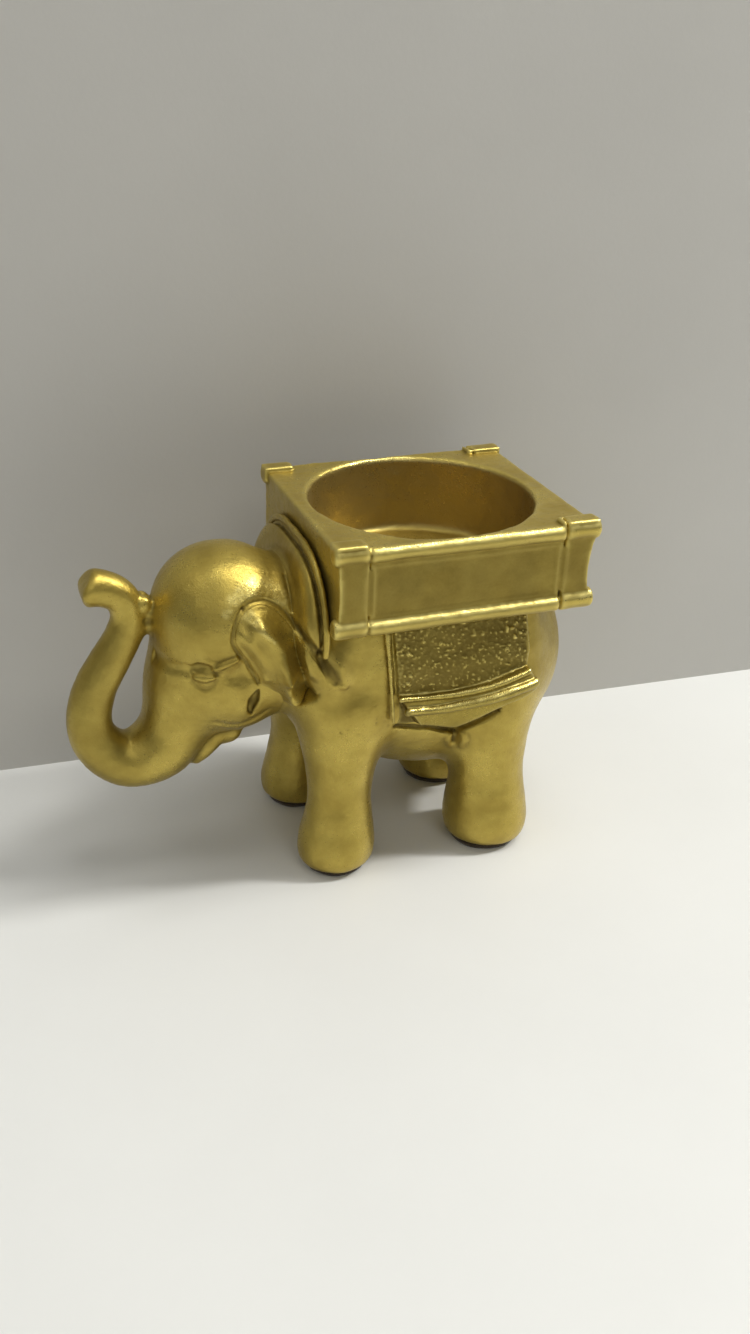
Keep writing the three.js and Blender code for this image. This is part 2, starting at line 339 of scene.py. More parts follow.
# ---------------------------------------------------------------------- meshing
EDGES = [(0, 1), (2, 3), (4, 5), (6, 7), (0, 2), (1, 3), (4, 6), (5, 7), (0, 4), (1, 5), (2, 6), (3, 7)]
CORNERS = np.array([(i, j, k) for i in (0, 1) for j in (0, 1) for k in (0, 1)])
EDGES = [(a, b) for a in range(8) for b in range(a + 1, 8) if np.abs(CORNERS[a] - CORNERS[b]).sum() == 1]


def nets(F, origin, h):
    """Surface nets: one vertex in each cell that the surface crosses."""
    S = F < 0
    a = S[:-1, :-1, :-1]
    anyc = a.copy()
    allc = a.copy()
    for i, j, k in CORNERS[1:]:
        c = S[i : S.shape[0] - 1 + i, j : S.shape[1] - 1 + j, k : S.shape[2] - 1 + k]
        anyc |= c
        allc &= c
    I, J, K = np.nonzero(anyc & ~allc)
    vals = np.stack([F[I + i, J + j, K + k] for i, j, k in CORNERS], 1).astype(float)
    acc = np.zeros((len(I), 3))
    cnt = np.zeros(len(I))
    for p, q in EDGES:
        fp, fq = vals[:, p], vals[:, q]
        m = (fp < 0) != (fq < 0)
        t = np.where(m, fp / np.where(m, fp - fq, 1), 0)
        pt = CORNERS[p] + t[:, None] * (CORNERS[q] - CORNERS[p])
        acc += np.where(m[:, None], pt, 0)
        cnt += m
    V = acc / cnt[:, None] + np.stack([I, J, K], 1)
    index = np.full(anyc.shape, -1, np.int64)
    index[I, J, K] = np.arange(len(I))
    quads = []
    nx, ny, nz = F.shape
    for axis in range(3):
        A = [slice(None)] * 3
        B = [slice(None)] * 3
        A[axis], B[axis] = slice(0, -1), slice(1, None)
        s0, s1 = S[tuple(A)], S[tuple(B)]
        u, v = (axis + 1) % 3, (axis + 2) % 3
        e = np.stack(np.nonzero(s0 != s1), 1)
        ok = (e[:, u] > 0) & (e[:, v] > 0) & (e[:, u] < F.shape[u] - 1) & (e[:, v] < F.shape[v] - 1)
        e = e[ok]
        du = np.zeros(3, int)
        dv = np.zeros(3, int)
        du[u] = 1
        dv[v] = 1
        c = [e - du - dv, e - dv, e, e - du]
        q = np.stack([index[tuple(ci.T)] for ci in c], 1)
        flip = ~s0[tuple(e.T)]
        q[flip] = q[flip][:, ::-1]
        quads.append(q)
    Q = np.concatenate(quads)
    Q = Q[(Q >= 0).all(1)]
    return V * h + origin, Q


def sample(F, origin, h, P):
    """Field and gradient at points, by trilinear interpolation."""
    g = (P - origin) / h
    n = np.array(F.shape) - 2
    i = np.clip(np.floor(g).astype(int), 0, n)
    t = g - i
    c = [[[F[i[:, 0] + a, i[:, 1] + b, i[:, 2] + d].astype(float) for d in (0, 1)] for b in (0, 1)] for a in (0, 1)]
    x, y, z = t.T
    lz = [[c[a][b][0] * (1 - z) + c[a][b][1] * z for b in (0, 1)] for a in (0, 1)]
    ly = [lz[a][0] * (1 - y) + lz[a][1] * y for a in (0, 1)]
    val = ly[0] * (1 - x) + ly[1] * x
    gx = ly[1] - ly[0]
    gy = (lz[0][1] - lz[0][0]) * (1 - x) + (lz[1][1] - lz[1][0]) * x
    dz = [[c[a][b][1] - c[a][b][0] for b in (0, 1)] for a in (0, 1)]
    gz = (dz[0][0] * (1 - y) + dz[0][1] * y) * (1 - x) + (dz[1][0] * (1 - y) + dz[1][1] * y) * x
    return val, np.stack([gx, gy, gz], 1) / h


def edges_of(Q):
    e = np.concatenate([Q[:, [0, 1]], Q[:, [1, 2]], Q[:, [2, 3]], Q[:, [3, 0]]])
    e.sort(1)
    return np.unique(e, axis=0)


def spread(e, v, n):
    """Mean of the neighbours' values."""
    deg = np.bincount(e.ravel(), minlength=n).astype(float)
    deg[deg == 0] = 1
    if v.ndim == 1:
        return (np.bincount(e[:, 0], v[e[:, 1]], n) + np.bincount(e[:, 1], v[e[:, 0]], n)) / deg
    return np.stack([spread(e, v[:, c], n) for c in range(v.shape[1])], 1)


def normals_of(V, Q):
    d1, d2 = V[Q[:, 2]] - V[Q[:, 0]], V[Q[:, 3]] - V[Q[:, 1]]
    fn = np.cross(d1, d2)
    N = np.zeros_like(V)
    for c in range(4):
        for a in range(3):
            N[:, a] += np.bincount(Q[:, c], fn[:, a], len(V))
    return N / (np.linalg.norm(N, axis=1)[:, None] + 1e-12)


def mesh_of(vol, relax=2):
    F, origin = vol.full()
    h = vol.h
    V, Q = nets(F, origin, h)
    e = edges_of(Q)
    for _ in range(relax):
        V = V + 0.5 * (spread(e, V, len(V)) - V)
        for _ in range(2):
            val, g = sample(F, origin, h, V)
            m = np.maximum((g**2).sum(1), 0.05)
            move = -(val / m)[:, None] * g
            ln = np.linalg.norm(move, axis=1)
            V = V + move * np.minimum(1, 0.6 * h / (ln + 1e-9))[:, None]
    return V, Q, e


_lattice = np.random.RandomState(7).rand(64, 64, 64) * 2 - 1


def noise(P, size, seed=0):
    """Smooth noise from -1 to 1 with features about size across."""
    g = P / size + np.array([3.7, 11.3, 5.9]) * (seed + 1)
    i = np.floor(g).astype(int)
    t = g - i
    t = t * t * t * (t * (t * 6 - 15) + 10)
    out = 0
    for a in (0, 1):
        for b in (0, 1):
            for c in (0, 1):
                w = np.abs(1 - a - t[:, 0]) * np.abs(1 - b - t[:, 1]) * np.abs(1 - c - t[:, 2])
                out = out + w * _lattice[(i[:, 0] + a) & 63, (i[:, 1] + b) & 63, (i[:, 2] + c) & 63]
    return out


# ------------------------------------------------------------------- the casting
SOLE = 0.75  # underside of the feet, on the pads
FRONT_LEG = [[6.0, SOLE], [6.75, 2.0], [7.0, 4.0], [6.75, 6.5], [6.1, 10], [5.7, 14], [6.1, 18.5], [7.3, 25], [8.2, 31], [8.2, 35]]
REAR_LEG = [[6.7, SOLE], [7.5, 2.1], [7.85, 4.6], [7.6, 7.5], [7.1, 11], [6.85, 15], [7.4, 20], [8.4, 27], [9.0, 33], [8.6, 36]]
TRUNK = [
    [-38.0, 0, 42.0, 8.4], [-41.3, 0, 36.0, 7.7], [-42.7, 0, 30.0, 6.9], [-44.7, 0, 25.4, 6.2], [-48.1, 0, 22.0, 5.75],
    [-52.2, 0, 21.0, 5.15], [-56.0, 0, 22.9, 4.5], [-58.4, 0, 26.7, 4.0], [-58.7, 0, 31.0, 3.75], [-57.2, 0, 36.0, 3.55],
    [-54.5, 0, 40.6, 3.35], [-52.2, 0, 44.6, 3.05], [-51.2, 0, 48.4, 2.9], [-52.3, 0, 51.7, 2.9], [-55.0, 0, 53.4, 3.0],
    [-58.2, 0, 53.9, 3.25], [-60.5, 0, 53.6, 3.5],
]
TAIL = [[24.6, 0, 42.5, 1.9], [26.0, 0, 36, 1.55], [25.9, 0, 30, 1.35], [24.6, 0, 24.5, 1.25], [23.7, 0, 21.2, 1.75], [23.2, 0, 18.8, 1.1]]

# Ear, seen from the side in x and z.
EAR_FRONT = [[-34.8, 51.8], [-35.6, 51.1], [-36.1, 50.1], [-36.5, 49.0], [-36.8, 47.7], [-36.8, 46.6], [-36.1, 45.1], [-35.3, 43.7], [-34.5, 42.7], [-33.7, 41.0], [-32.8, 39.2], [-32.3, 38.2]]
EAR_BACK = [[-34.8, 51.8], [-33.5, 52.5], [-32.0, 52.6], [-30.6, 52.3], [-28.9, 51.4], [-27.4, 50.1], [-25.9, 48.1], [-24.6, 46.2], [-23.1, 43.7], [-21.9, 41.6], [-20.9, 39.8]]
EAR_OUTLINE = [
    [-34.5, 51.4], [-35.2, 50.8], [-35.8, 49.8], [-36.2, 48.8], [-36.4, 47.6], [-36.4, 46.7], [-35.7, 45.3], [-34.9, 43.9], [-34.1, 42.8], [-33.3, 41.1], [-32.4, 39.2],
    [-31.8, 37.0], [-30.6, 34.6], [-28.6, 33.4], [-26.4, 33.7], [-25.2, 34.4], [-24.4, 35.3], [-23.4, 36.3], [-22.3, 38.0], [-22.3, 39.6], [-22.7, 41.2], [-23.9, 43.3],
    [-25.4, 45.8], [-26.7, 47.8], [-28.1, 49.6], [-29.4, 50.8], [-30.8, 51.8], [-32.0, 52.15], [-33.3, 52.05],
]
EAR_RIDGE = [[-34.6, 51.6], [-33.6, 50.7], [-32.1, 48.9], [-30.6, 47.2], [-29.8, 45.0], [-29.3, 42.5], [-28.8, 40.0]]
FOLD_SIGN = -1  # the two fold lines run downward
EAR_FOLD = [[-29.2, 50.2], [-29.0, 48.5], [-28.8, 46.4], [-28.6, 44.1], [-28.5, 41.7], [-28.2, 39.6], [-27.6, 37.2], [-26.8, 34.6]]
EAR_FOOT = [[-26.3, 50.5], [-26.5, 48.5], [-26.4, 46.3], [-26.2, 44.0], [-25.8, 42.0], [-25.0, 39.3], [-24.2, 37.4], [-23.4, 35.8]]
EAR_FACET = [
    [-28.6, 46.4], [-27.0, 46.6], [-26.0, 45.0], [-25.7, 42.5], [-25.0, 40.2], [-24.2, 38.0], [-23.3, 36.3], [-24.6, 34.9],
    [-26.1, 33.7], [-27.0, 36.2], [-27.6, 38.8], [-28.2, 41.6], [-28.6, 44.2],
]
EAR_ROLL = [[-35.3, 48.2], [-34.5, 46.7], [-33.5, 45.2], [-32.5, 43.4], [-31.8, 41.4], [-31.4, 39.2]]
EAR_VALLEY = [[-34.2, 49.9], [-33.2, 47.6], [-32.0, 44.8], [-31.0, 41.6], [-30.3, 38.4], [-29.4, 35.9]]


def seam_x(Z):
    return -25.6 - (56.0 - Z) * 0.0875


def arch_edge(Y, Z, out=0.0):
    """Distance outside the blanket's arched outline, in y and z."""
    half = 17.9 + out - 1.5 * step(50.0, 40.0, Z)
    top = 59.9 + out
    z0 = 43.0
    y = np.abs(Y) / half
    z = np.maximum(Z - z0, 0) / (top - z0)
    q = (y**3.0 + z**2.3) ** (1 / 2.65)
    return np.maximum((q - 1) * 16.5, (np.abs(Y) - half) * 0.98)


def skin(v):
    """The elephant without its ears."""
    v.add(ball([2, 0, 34], [24, 16.8, 21.3]), 0)
    v.add(ball([11.0, 0, 34], [15.6, 16.6, 17.5]), 5)
    v.add(ball([-13.5, 0, 35], [13, 16.6, 17]), 5)
    v.add(rbox([-20, -15.8, 37], [17.5, 15.8, 50.5], 4.0), 5)
    v.add(ball([-21.0, 0, 41.5], [6.0, 17.6, 12.0]), 4)
    v.add(ball([-26, 0, 42], [9.5, 12.0, 12.8]), 5)
    v.add(leg(-18.5, -11.6, FRONT_LEG, 0.05, 0.1, 1.2), 3.2)
    v.add(leg(11.2, -11.9, REAR_LEG, -0.035, 0.1, 1.2), 3.0)
    v.add(ball([-35.5, 0, 46.6], [12.2, 12.2, 12.4]), 3.5)
    v.add(ball([-34.6, 0, 36.6], [11.4, 11.0, 11.6]), 3.0)
    v.add(limb(TRUNK, 5), 3.0)

    def slab(X, Y, Z):
        side = arch_edge(Y, Z)
        front = -25.7 + 1.2 * step(49.0, 60.0, Z)
        return smax(smax(side, np.maximum(front - X, X + 22.25), 2.6), 40.5 - Z, 2)

    v.add((slab, np.array([-25.7, -18, 40]), np.array([-22.2, 18, 60])), 1.3)

    def infill(X, Y, Z):
        return smax(arch_edge(Y, Z, -0.35), np.maximum(np.maximum(-23.0 - X, X + 20.6), 49.2 - Z), 0.2)

    v.add((infill, np.array([-23.0, -18, 49]), np.array([-20.4, 18, 60])), 0.15)


def carve(v):
    """Grooves and small forms that the ears, the blanket and the face leave in the skin."""
    X, Y, Z = v.grid()
    near = (Y < -3).astype(f32)
    D = inside_outline(smooth_line(EAR_FACET, 4, True), v.x, v.z)
    v.F += ((0.9 + 1.3 * step(39.2, 36.2, v.z))[None, None, :] * step(0.35, -0.5, D)[:, None, :] * near).astype(f32)
    v.groove(smooth_line(EAR_FRONT, 5), [0.3, 0.32, 0.36, 0.38, 0.32], -0.05, 0.12, -4)
    v.groove(smooth_line(EAR_BACK, 5), [0.3, 0.32, 0.34, 0.42, 0.6, 0.9, 1.15, 0.95], [-0.05, -0.05, -0.03, 0.0, 0.05, 0.2, 0.4, 0.4], 0.3, -4)
    # behind the ear the shoulder stands a little prouder
    v.ridge(smooth_line([[-23.5, 46.6], [-21.7, 43.8], [-20.2, 41.3], [-19.2, 39.6]], 4), [0.5, 0.9, 1.0, 0.7], -0.95, 1.6, -8)
    v.ridge([[-20.0, 39.0], [-19.3, 38.5]], 0.4, -0.1, 0.4, -8)
    # nape crease and small pits
    v.groove(smooth_line([[-26.0, 55.5], [-26.1, 52.5], [-26.2, 50.2]], 3), 0.25, 0.0, 0.3, -5)
    v.cut(ball([-26.1, -7.6, 53.6], [0.35, 0.45, 0.35]), 0.1)
    # blanket hem
    for x, r, rise in ((-23.35, 0.42, 0.05),):
        G = np.sqrt((X - x) ** 2 + (v.F - rise) ** 2) - r
        G = np.where((Z > 44.5) & (X < -21.5), G, 9)
        v.F = smax(v.F, -G.astype(f32), 0.3)


def face(v):
    # chin pit, jaw line and lower lip
    v.groove(smooth_line([[-32.3, 36.7], [-32.8, 35.4], [-33.2, 34.0], [-33.5, 32.9], [-33.2, 31.9]], 4), [0.3, 0.75, 1.05, 0.85, 0.6, 0.25], -0.3, 0.25, -4)
    v.groove(smooth_line([[-38.8, 30.4], [-36.6, 29.6], [-34.4, 29.4], [-32.2, 30.4], [-30.2, 31.6]], 5), [0.1, 0.2, 0.35, 0.5, 0.5, 0.2], 0.2, 0.9, -3)
    # mouth: two small lips under the root of the trunk
    if True:
        v.add(limb([[-36.4, -2.0, 26.0, 1.2], [-37.8, -2.6, 24.2, 1.6], [-39.6, -2.4, 21.9, 1.5], [-41.0, -1.6, 19.9, 1.1]], 4), 1.0)
        v.add(limb([[-33.8, -2.4, 26.4, 1.3], [-34.8, -2.6, 24.6, 1.5], [-35.9, -1.4, 23.2, 1.3]], 4), 1.0)
    v.add(ball([-36.2, 0, 25.2], [3.4, 3.6, 2.6], [0, -25, 0]), 1.6)
    # eye
    v.groove(smooth_line([[-42.3, 41.1], [-41.3, 41.8], [-40.4, 42.0], [-39.6, 41.4], [-39.0, 40.7]], 4), 0.5, 0.12, 0.5, -4)
    v.groove(smooth_line([[-43.3, 40.2], [-42.6, 38.9], [-41.0, 37.6], [-39.8, 38.2], [-39.0, 39.4]], 4), [0.25, 0.4, 0.42, 0.35, 0.2], 0.14, 0.5, -4)
    v.ridge([[-42.2, 39.9], [-41.2, 39.8], [-39.9, 40.0]], [0.62, 0.85, 0.6], -0.1, 0.3, -4)
    v.ridge(smooth_line([[-43.0, 42.0], [-42.0, 42.8], [-40.7, 43.1], [-39.5, 42.7]], 4), 0.36, -0.12, 0.6, -4)
    v.ridge(smooth_line([[-39.4, 41.8], [-38.1, 42.7], [-36.9, 43.2], [-35.6, 43.9]], 4), [0.6, 0.72, 0.7, 0.4], 0.1, 0.35, -4)
    D = inside_outline(smooth_line([[-38.2, 40.0], [-36.3, 41.9], [-35.0, 42.4], [-33.9, 40.6], [-33.6, 38.8], [-36.0, 38.4]], 4, True), v.x, v.z)
    X, Y, Z = v.grid()
    v.F += (0.7 * step(1.2, -1.6, D)[:, None, :] * (Y < -4)).astype(f32)
    v.groove(smooth_line([[-49.5, 40.6], [-47.5, 41.2], [-45.0, 40.9], [-43.2, 41.4], [-42.0, 42.3]], 4), [0.5, 0.7, 0.8, 0.6, 0.3], [0.49, 0.66, 0.74, 0.5, 0.24], 1.6, -2)
    # end of the trunk
    v.cut((lambda X, Y, Z: (X + 58.6 + 0.16 * (Z - 53.4)) * 0.98, np.array([-66, -5, 49.6]), np.array([-56, 5, 60])), 1.1)
    v.cut((lambda X, Y, Z: (X * 0.80 - Z * 0.60 + 58.0 * 0.80 + 54.8 * 0.60), np.array([-66, -5, 50]), np.array([-55, 5, 60])), 0.8)
    v.cut((lambda X, Y, Z: (X * 0.66 + Z * 0.75 - (-58.3 * 0.66 + 51.1 * 0.75)), np.array([-62, -5, 50.0]), np.array([-57, 5, 53])), 0.6)
    v.add(ball([-48.7, -1.2, 50.4], [1.15, 1.1, 1.3]), 0.7)
    v.cut(ball([-48.5, -2.6, 47.6], [0.8, 0.9, 0.9]), 0.3)


def flank(v):
    # crack and pits under the saddle cloth
    v.groove(smooth_line([[-9.6, 28.6], [-7.7, 28.0], [-5.0, 27.2], [-2.8, 27.0], [1.0, 26.0], [3.2, 26.8], [4.7, 27.8], [5.8, 28.6], [7.1, 29.4], [9.1, 30.6]], 5), [0.35, 0.45, 0.42, 0.5, 0.75, 1.0, 0.8, 0.75, 0.65, 0.2], -0.2, 0.15, -6)
    v.groove([[2.2, 24.9], [2.3, 22.9]], [0.55, 0.4], 0.0, 0.25, -6)
    v.ridge(smooth_line([[3.3, 25.0], [3.6, 23.6], [3.4, 21.9]], 3), [0.5, 0.65, 0.4], -0.05, 0.4, -6)
    v.ridge(smooth_line([[1.3, 24.7], [1.2, 23.2], [1.8, 21.6]], 3), [0.35, 0.5, 0.3], -0.05, 0.4, -6)
    for x, z, r in PITS:
        v.groove([[x, z], [x + 0.12, z - 0.1]], r, 0.0, 0.1, -6)


rng = np.random.RandomState(11)
PITS = [(8.6, 30.2, 0.32), (6.6, 30.0, 0.2)]
for i in range(26):
    PITS.append((-20.5 + 9.5 * rng.rand(), 28.5 + 5.5 * rng.rand() * (0.35 + 0.65 * rng.rand()), 0.13 + 0.12 * rng.rand()))

T0 = time.time()


def build_body():
    v = Vol([-32, -22, 0], [30.5, 0, 62], 0.40 * FINE)
    skin(v)
    v.add(limb(TAIL, 4), 1.2)
    carve(v)
    flank(v)
    X, Y, Z = v.grid()
    v.F = smax(v.F, (seam_x(Z) - X).astype(f32), 0)
    room = rbox([-22.2, -40, 48.75], [60, 40, 90], 0.2)
    v.cut(room, 0.15, 60)
    return mesh_of(v)


def build_head():
    v = Vol([-65, -17, 13], [-22, 0, 62], 0.29 * FINE)
    skin(v)
    face(v)
    carve(v)
    X, Y, Z = v.grid()
    s = seam_x(Z)
    v.F = (v.F + 0.06 * step(s - 0.4, s, X)).astype(f32)
    v.F = smax(v.F, (X - s - 0.8).astype(f32), 0)
    return mesh_of(v)


def build_ear():
    v = Vol([-38.5, -19.5, 31.5], [-18.5, -4, 55.5], 0.24 * FINE, mirror=False)
    skin(v)
    G = v.F.copy()
    D = inside_outline(smooth_line(EAR_OUTLINE, 5, True), v.x, v.z)
    R, _ = dist_line(smooth_line(EAR_RIDGE, 4), v.x, v.z)
    L, _ = dist_line(smooth_line(EAR_ROLL, 4), v.x, v.z)
    W, _ = dist_line(smooth_line(EAR_VALLEY, 4), v.x, v.z)
    SL = side_of(smooth_line(EAR_FOLD, 4), v.x, v.z) * FOLD_SIGN
    SR = side_of(smooth_line(EAR_FOOT, 4), v.x, v.z) * FOLD_SIGN
    X2, Z2 = np.meshgrid(v.x, v.z, indexing="ij")
    main = 0.22 + 0.85 * step(0.2, -3.4, D)
    main += 1.25 * bell(R, 1.9) * step(0.0, -2.4, D) + 0.75 * step(0.5, -3.5, SL) * step(-0.5, -3.0, D)
    main += 0.75 * bell(L, 1.0) * step(0.3, -1.0, D)
    main -= 0.45 * bell(W, 1.5) * step(0.0, -1.4, D)
    main += 0.45 * bell(SL + 0.5, 0.9) * step(45.5, 42.0, Z2)
    main += np.maximum(1.1 + 0.65 * step(34.8, 39.5, Z2) - main, 0) * step(-2.6, -0.3, SL) * step(0.1, -0.5, D) * step(45.5, 42.5, Z2)
    strip = 0.0 + 0.5 * step(0.2, -1.8, D) * step(37.0, 43.0, Z2)
    # the fold's face falls from its crest to the foot beside the strip
    u = clamp(SL / np.maximum(SL - SR, 1e-3))
    u = np.where(SL <= 0, 0.0, np.where(SR >= 0, 1.0, u))
    foot = -0.55 - 1.25 * step(39.2, 36.2, Z2)
    fold = smooth_line(EAR_FOLD, 4)
    crest = main.copy()
    for j, z in enumerate(v.z):
        xf = np.interp(-z, -fold[:, 1], fold[:, 0])
        crest[:, j] = np.where(v.x > xf, np.interp(xf, v.x, main[:, j]), main[:, j])
    face_t = crest * (1 - u) + foot * u
    out_t = foot + (strip - foot) * step(-0.1, 0.45, SR)
    folded = np.where(SR >= 0, out_t, face_t)
    top = step(49.2, 44.2, Z2)
    plain_t = main
    t = plain_t * (1 - top) + folded * top
    # everything but the fold's foot runs out into the neck and shoulder
    low = step(38.6, 34.2, Z2 - 0.35 * clamp(-28.5 - X2, 0, 4))
    t = t - (t + 0.28) * low * np.where(SL > 0, 0.0, 1.0) * step(-0.2, -1.6, SL)
    T = t[:, None, :].astype(f32)
    F = G - T
    F = smax(F, (D * 0.95)[:, None, :], 0.3)
    F = smax(F, -(G + 2.9), 0.2)
    v.F = F.astype(f32)
    return mesh_of(v)


def build_collar():
    v = Vol([-24.6, -21, 41], [-21.5, 0, 63], 0.2 * FINE)
    X, Y, Z = v.grid()
    side = arch_edge(Y, Z, 0.35)
    d = np.sqrt(((X + 22.72) * 1.0) ** 2 + (side + 0.25) ** 2) - 0.52
    d = smax(d, 44.2 - Z, 0.5)
    v.F = d.astype(f32)
    return mesh_of(v)


# --------------------------------------------------------------- saddle panels
def build_saddle():
    v = Vol([-12.6, -21.5, 26.4], [18.0, -11.5, 49.4], 0.21 * FINE, mirror=False)
    skin(v)
    G = v.F.copy()
    X, Y, Z = v.grid()
    outline = smooth_line([[-11.9, 49.6], [-11.5, 43.0], [-11.0, 36.0], [-10.6, 30.3]], 4).tolist()
    outline += smooth_line([[-9.8, 29.3], [-7.6, 28.6], [-4.9, 28.4], [-1.4, 27.6], [1.1, 27.3], [3.2, 28.4], [5.0, 29.6], [7.0, 30.9], [9.5, 32.0], [13.0, 32.7]], 4).tolist()
    outline += [[15.6, 33.2], [15.7, 34.6], [14.9, 36.0], [13.9, 37.6], [14.3, 41.2], [13.9, 46.0], [13.7, 49.6]]
    D = inside_outline(outline, v.x, v.z)
    X2, Z2 = np.meshgrid(v.x, v.z, indexing="ij")
    edge = smooth_line([[-12.2, 49.6], [-11.6, 40.0], [-10.9, 33.6], [-10.5, 30.4]], 4)
    hem1 = smooth_line([[-9.6, 35.0], [-4.9, 34.4], [0.1, 34.4], [4.7, 35.3], [8.3, 36.2], [10.9, 36.8], [13.7, 37.3]], 5)
    hem2 = smooth_line([[-8.0, 32.2], [-2.2, 31.8], [2.5, 32.6], [7.1, 33.8], [10.9, 34.6], [15.1, 34.9]], 5)
    E, _ = dist_line(edge, v.x, v.z)
    H1, a1 = dist_line(hem1, v.x, v.z)
    H2, a2 = dist_line(hem2, v.x, v.z)
    S1 = side_of(hem1, v.x, v.z)  # positive below the first roll
    field = step(0.0, -0.8, S1)  # the stippled cloth above it
    t = 0.5 + 0.75 * (1 - field)
    # wedge left open between the front edge and the ends of the rolls
    global CLOTH_SHADE
    wedge = step(0.4, -0.3, X2 - (-9.9 + (35.2 - Z2) * 0.66)) * step(36.2, 35.2, Z2)
    t = t * (1 - wedge) + 0.12 * wedge
    t = t - 0.55 * bell(E - 1.05, 0.4) * (X2 > edge[-1, 0] - 2)
    F = (G - t[:, None, :]).astype(f32)
    F = smax(F, (D * 0.95)[:, None, :].astype(f32), 0.45)
    v.F = F
    tube = lambda H, rise, r: np.sqrt(H[:, None, :] ** 2 + (G - rise) ** 2) - r
    v.F = smin(v.F, tube(E, 0.62, 0.36).astype(f32), 0.25)
    v.F = smin(v.F, tube(H1, 1.15, 0.5).astype(f32), 0.35)
    v.F = smin(v.F, tube(H2, 1.3, 0.85).astype(f32), 0.3)
    # the two rolls end square
    v.F = smax(v.F, (X - 15.8).astype(f32), 0.3)
    v.F = smax(v.F, (Z - 49.0).astype(f32), 0.2)
    v.F = smax(v.F, -(G + 1.1), 0.1).astype(f32)
    V, Q, e = mesh_of(v, 1)
    # stipple: small sharp grains over the cloth above the rolls
    N = normals_of(V, Q)
    s = np.interp(V[:, 0], hem1[:, 0], hem1[:, 1])
    m = step(0.35, 1.2, V[:, 2] - s) * step(-10.6, -9.9, V[:, 0] + (V[:, 2] - 40) * 0.06) * step(14.0, 13.2, V[:, 0]) * (N[:, 1] < -0.3)
    g = noise(V, 0.50, 3) * 0.7 + noise(V, 0.34, 4) * 0.6
    g = np.where(g > 0.36, (g - 0.36) * 3.0, g * 0.35)
    amp = 0.13 + 0.05 * noise(V, 3.0, 9) + 0.16 * step(6.0, 12.5, V[:, 0]) + 0.07 * step(-5.0, -9.5, V[:, 0])
    w = step(0.4, -0.3, V[:, 0] - (-9.9 + (35.2 - V[:, 2]) * 0.66)) * step(36.2, 35.2, V[:, 2]) * (N[:, 1] < -0.2) * step(-10.9, -10.3, V[:, 0])
    under = step(0.0, -0.5, N[:, 2]) * step(0.3, 1.0, s - V[:, 2]) * (N[:, 1] < -0.1)
    # painted shade on the cloth: darker between the grains, in the open wedge and under the first roll
    CLOTH_SHADE = np.maximum(np.maximum(m * (0.60 - 0.6 * clamp(g, 0, 0.8)), 0.75 * w), 0.45 * under)
    V = V + N * (m * g * amp)[:, None]
    return V, Q, e


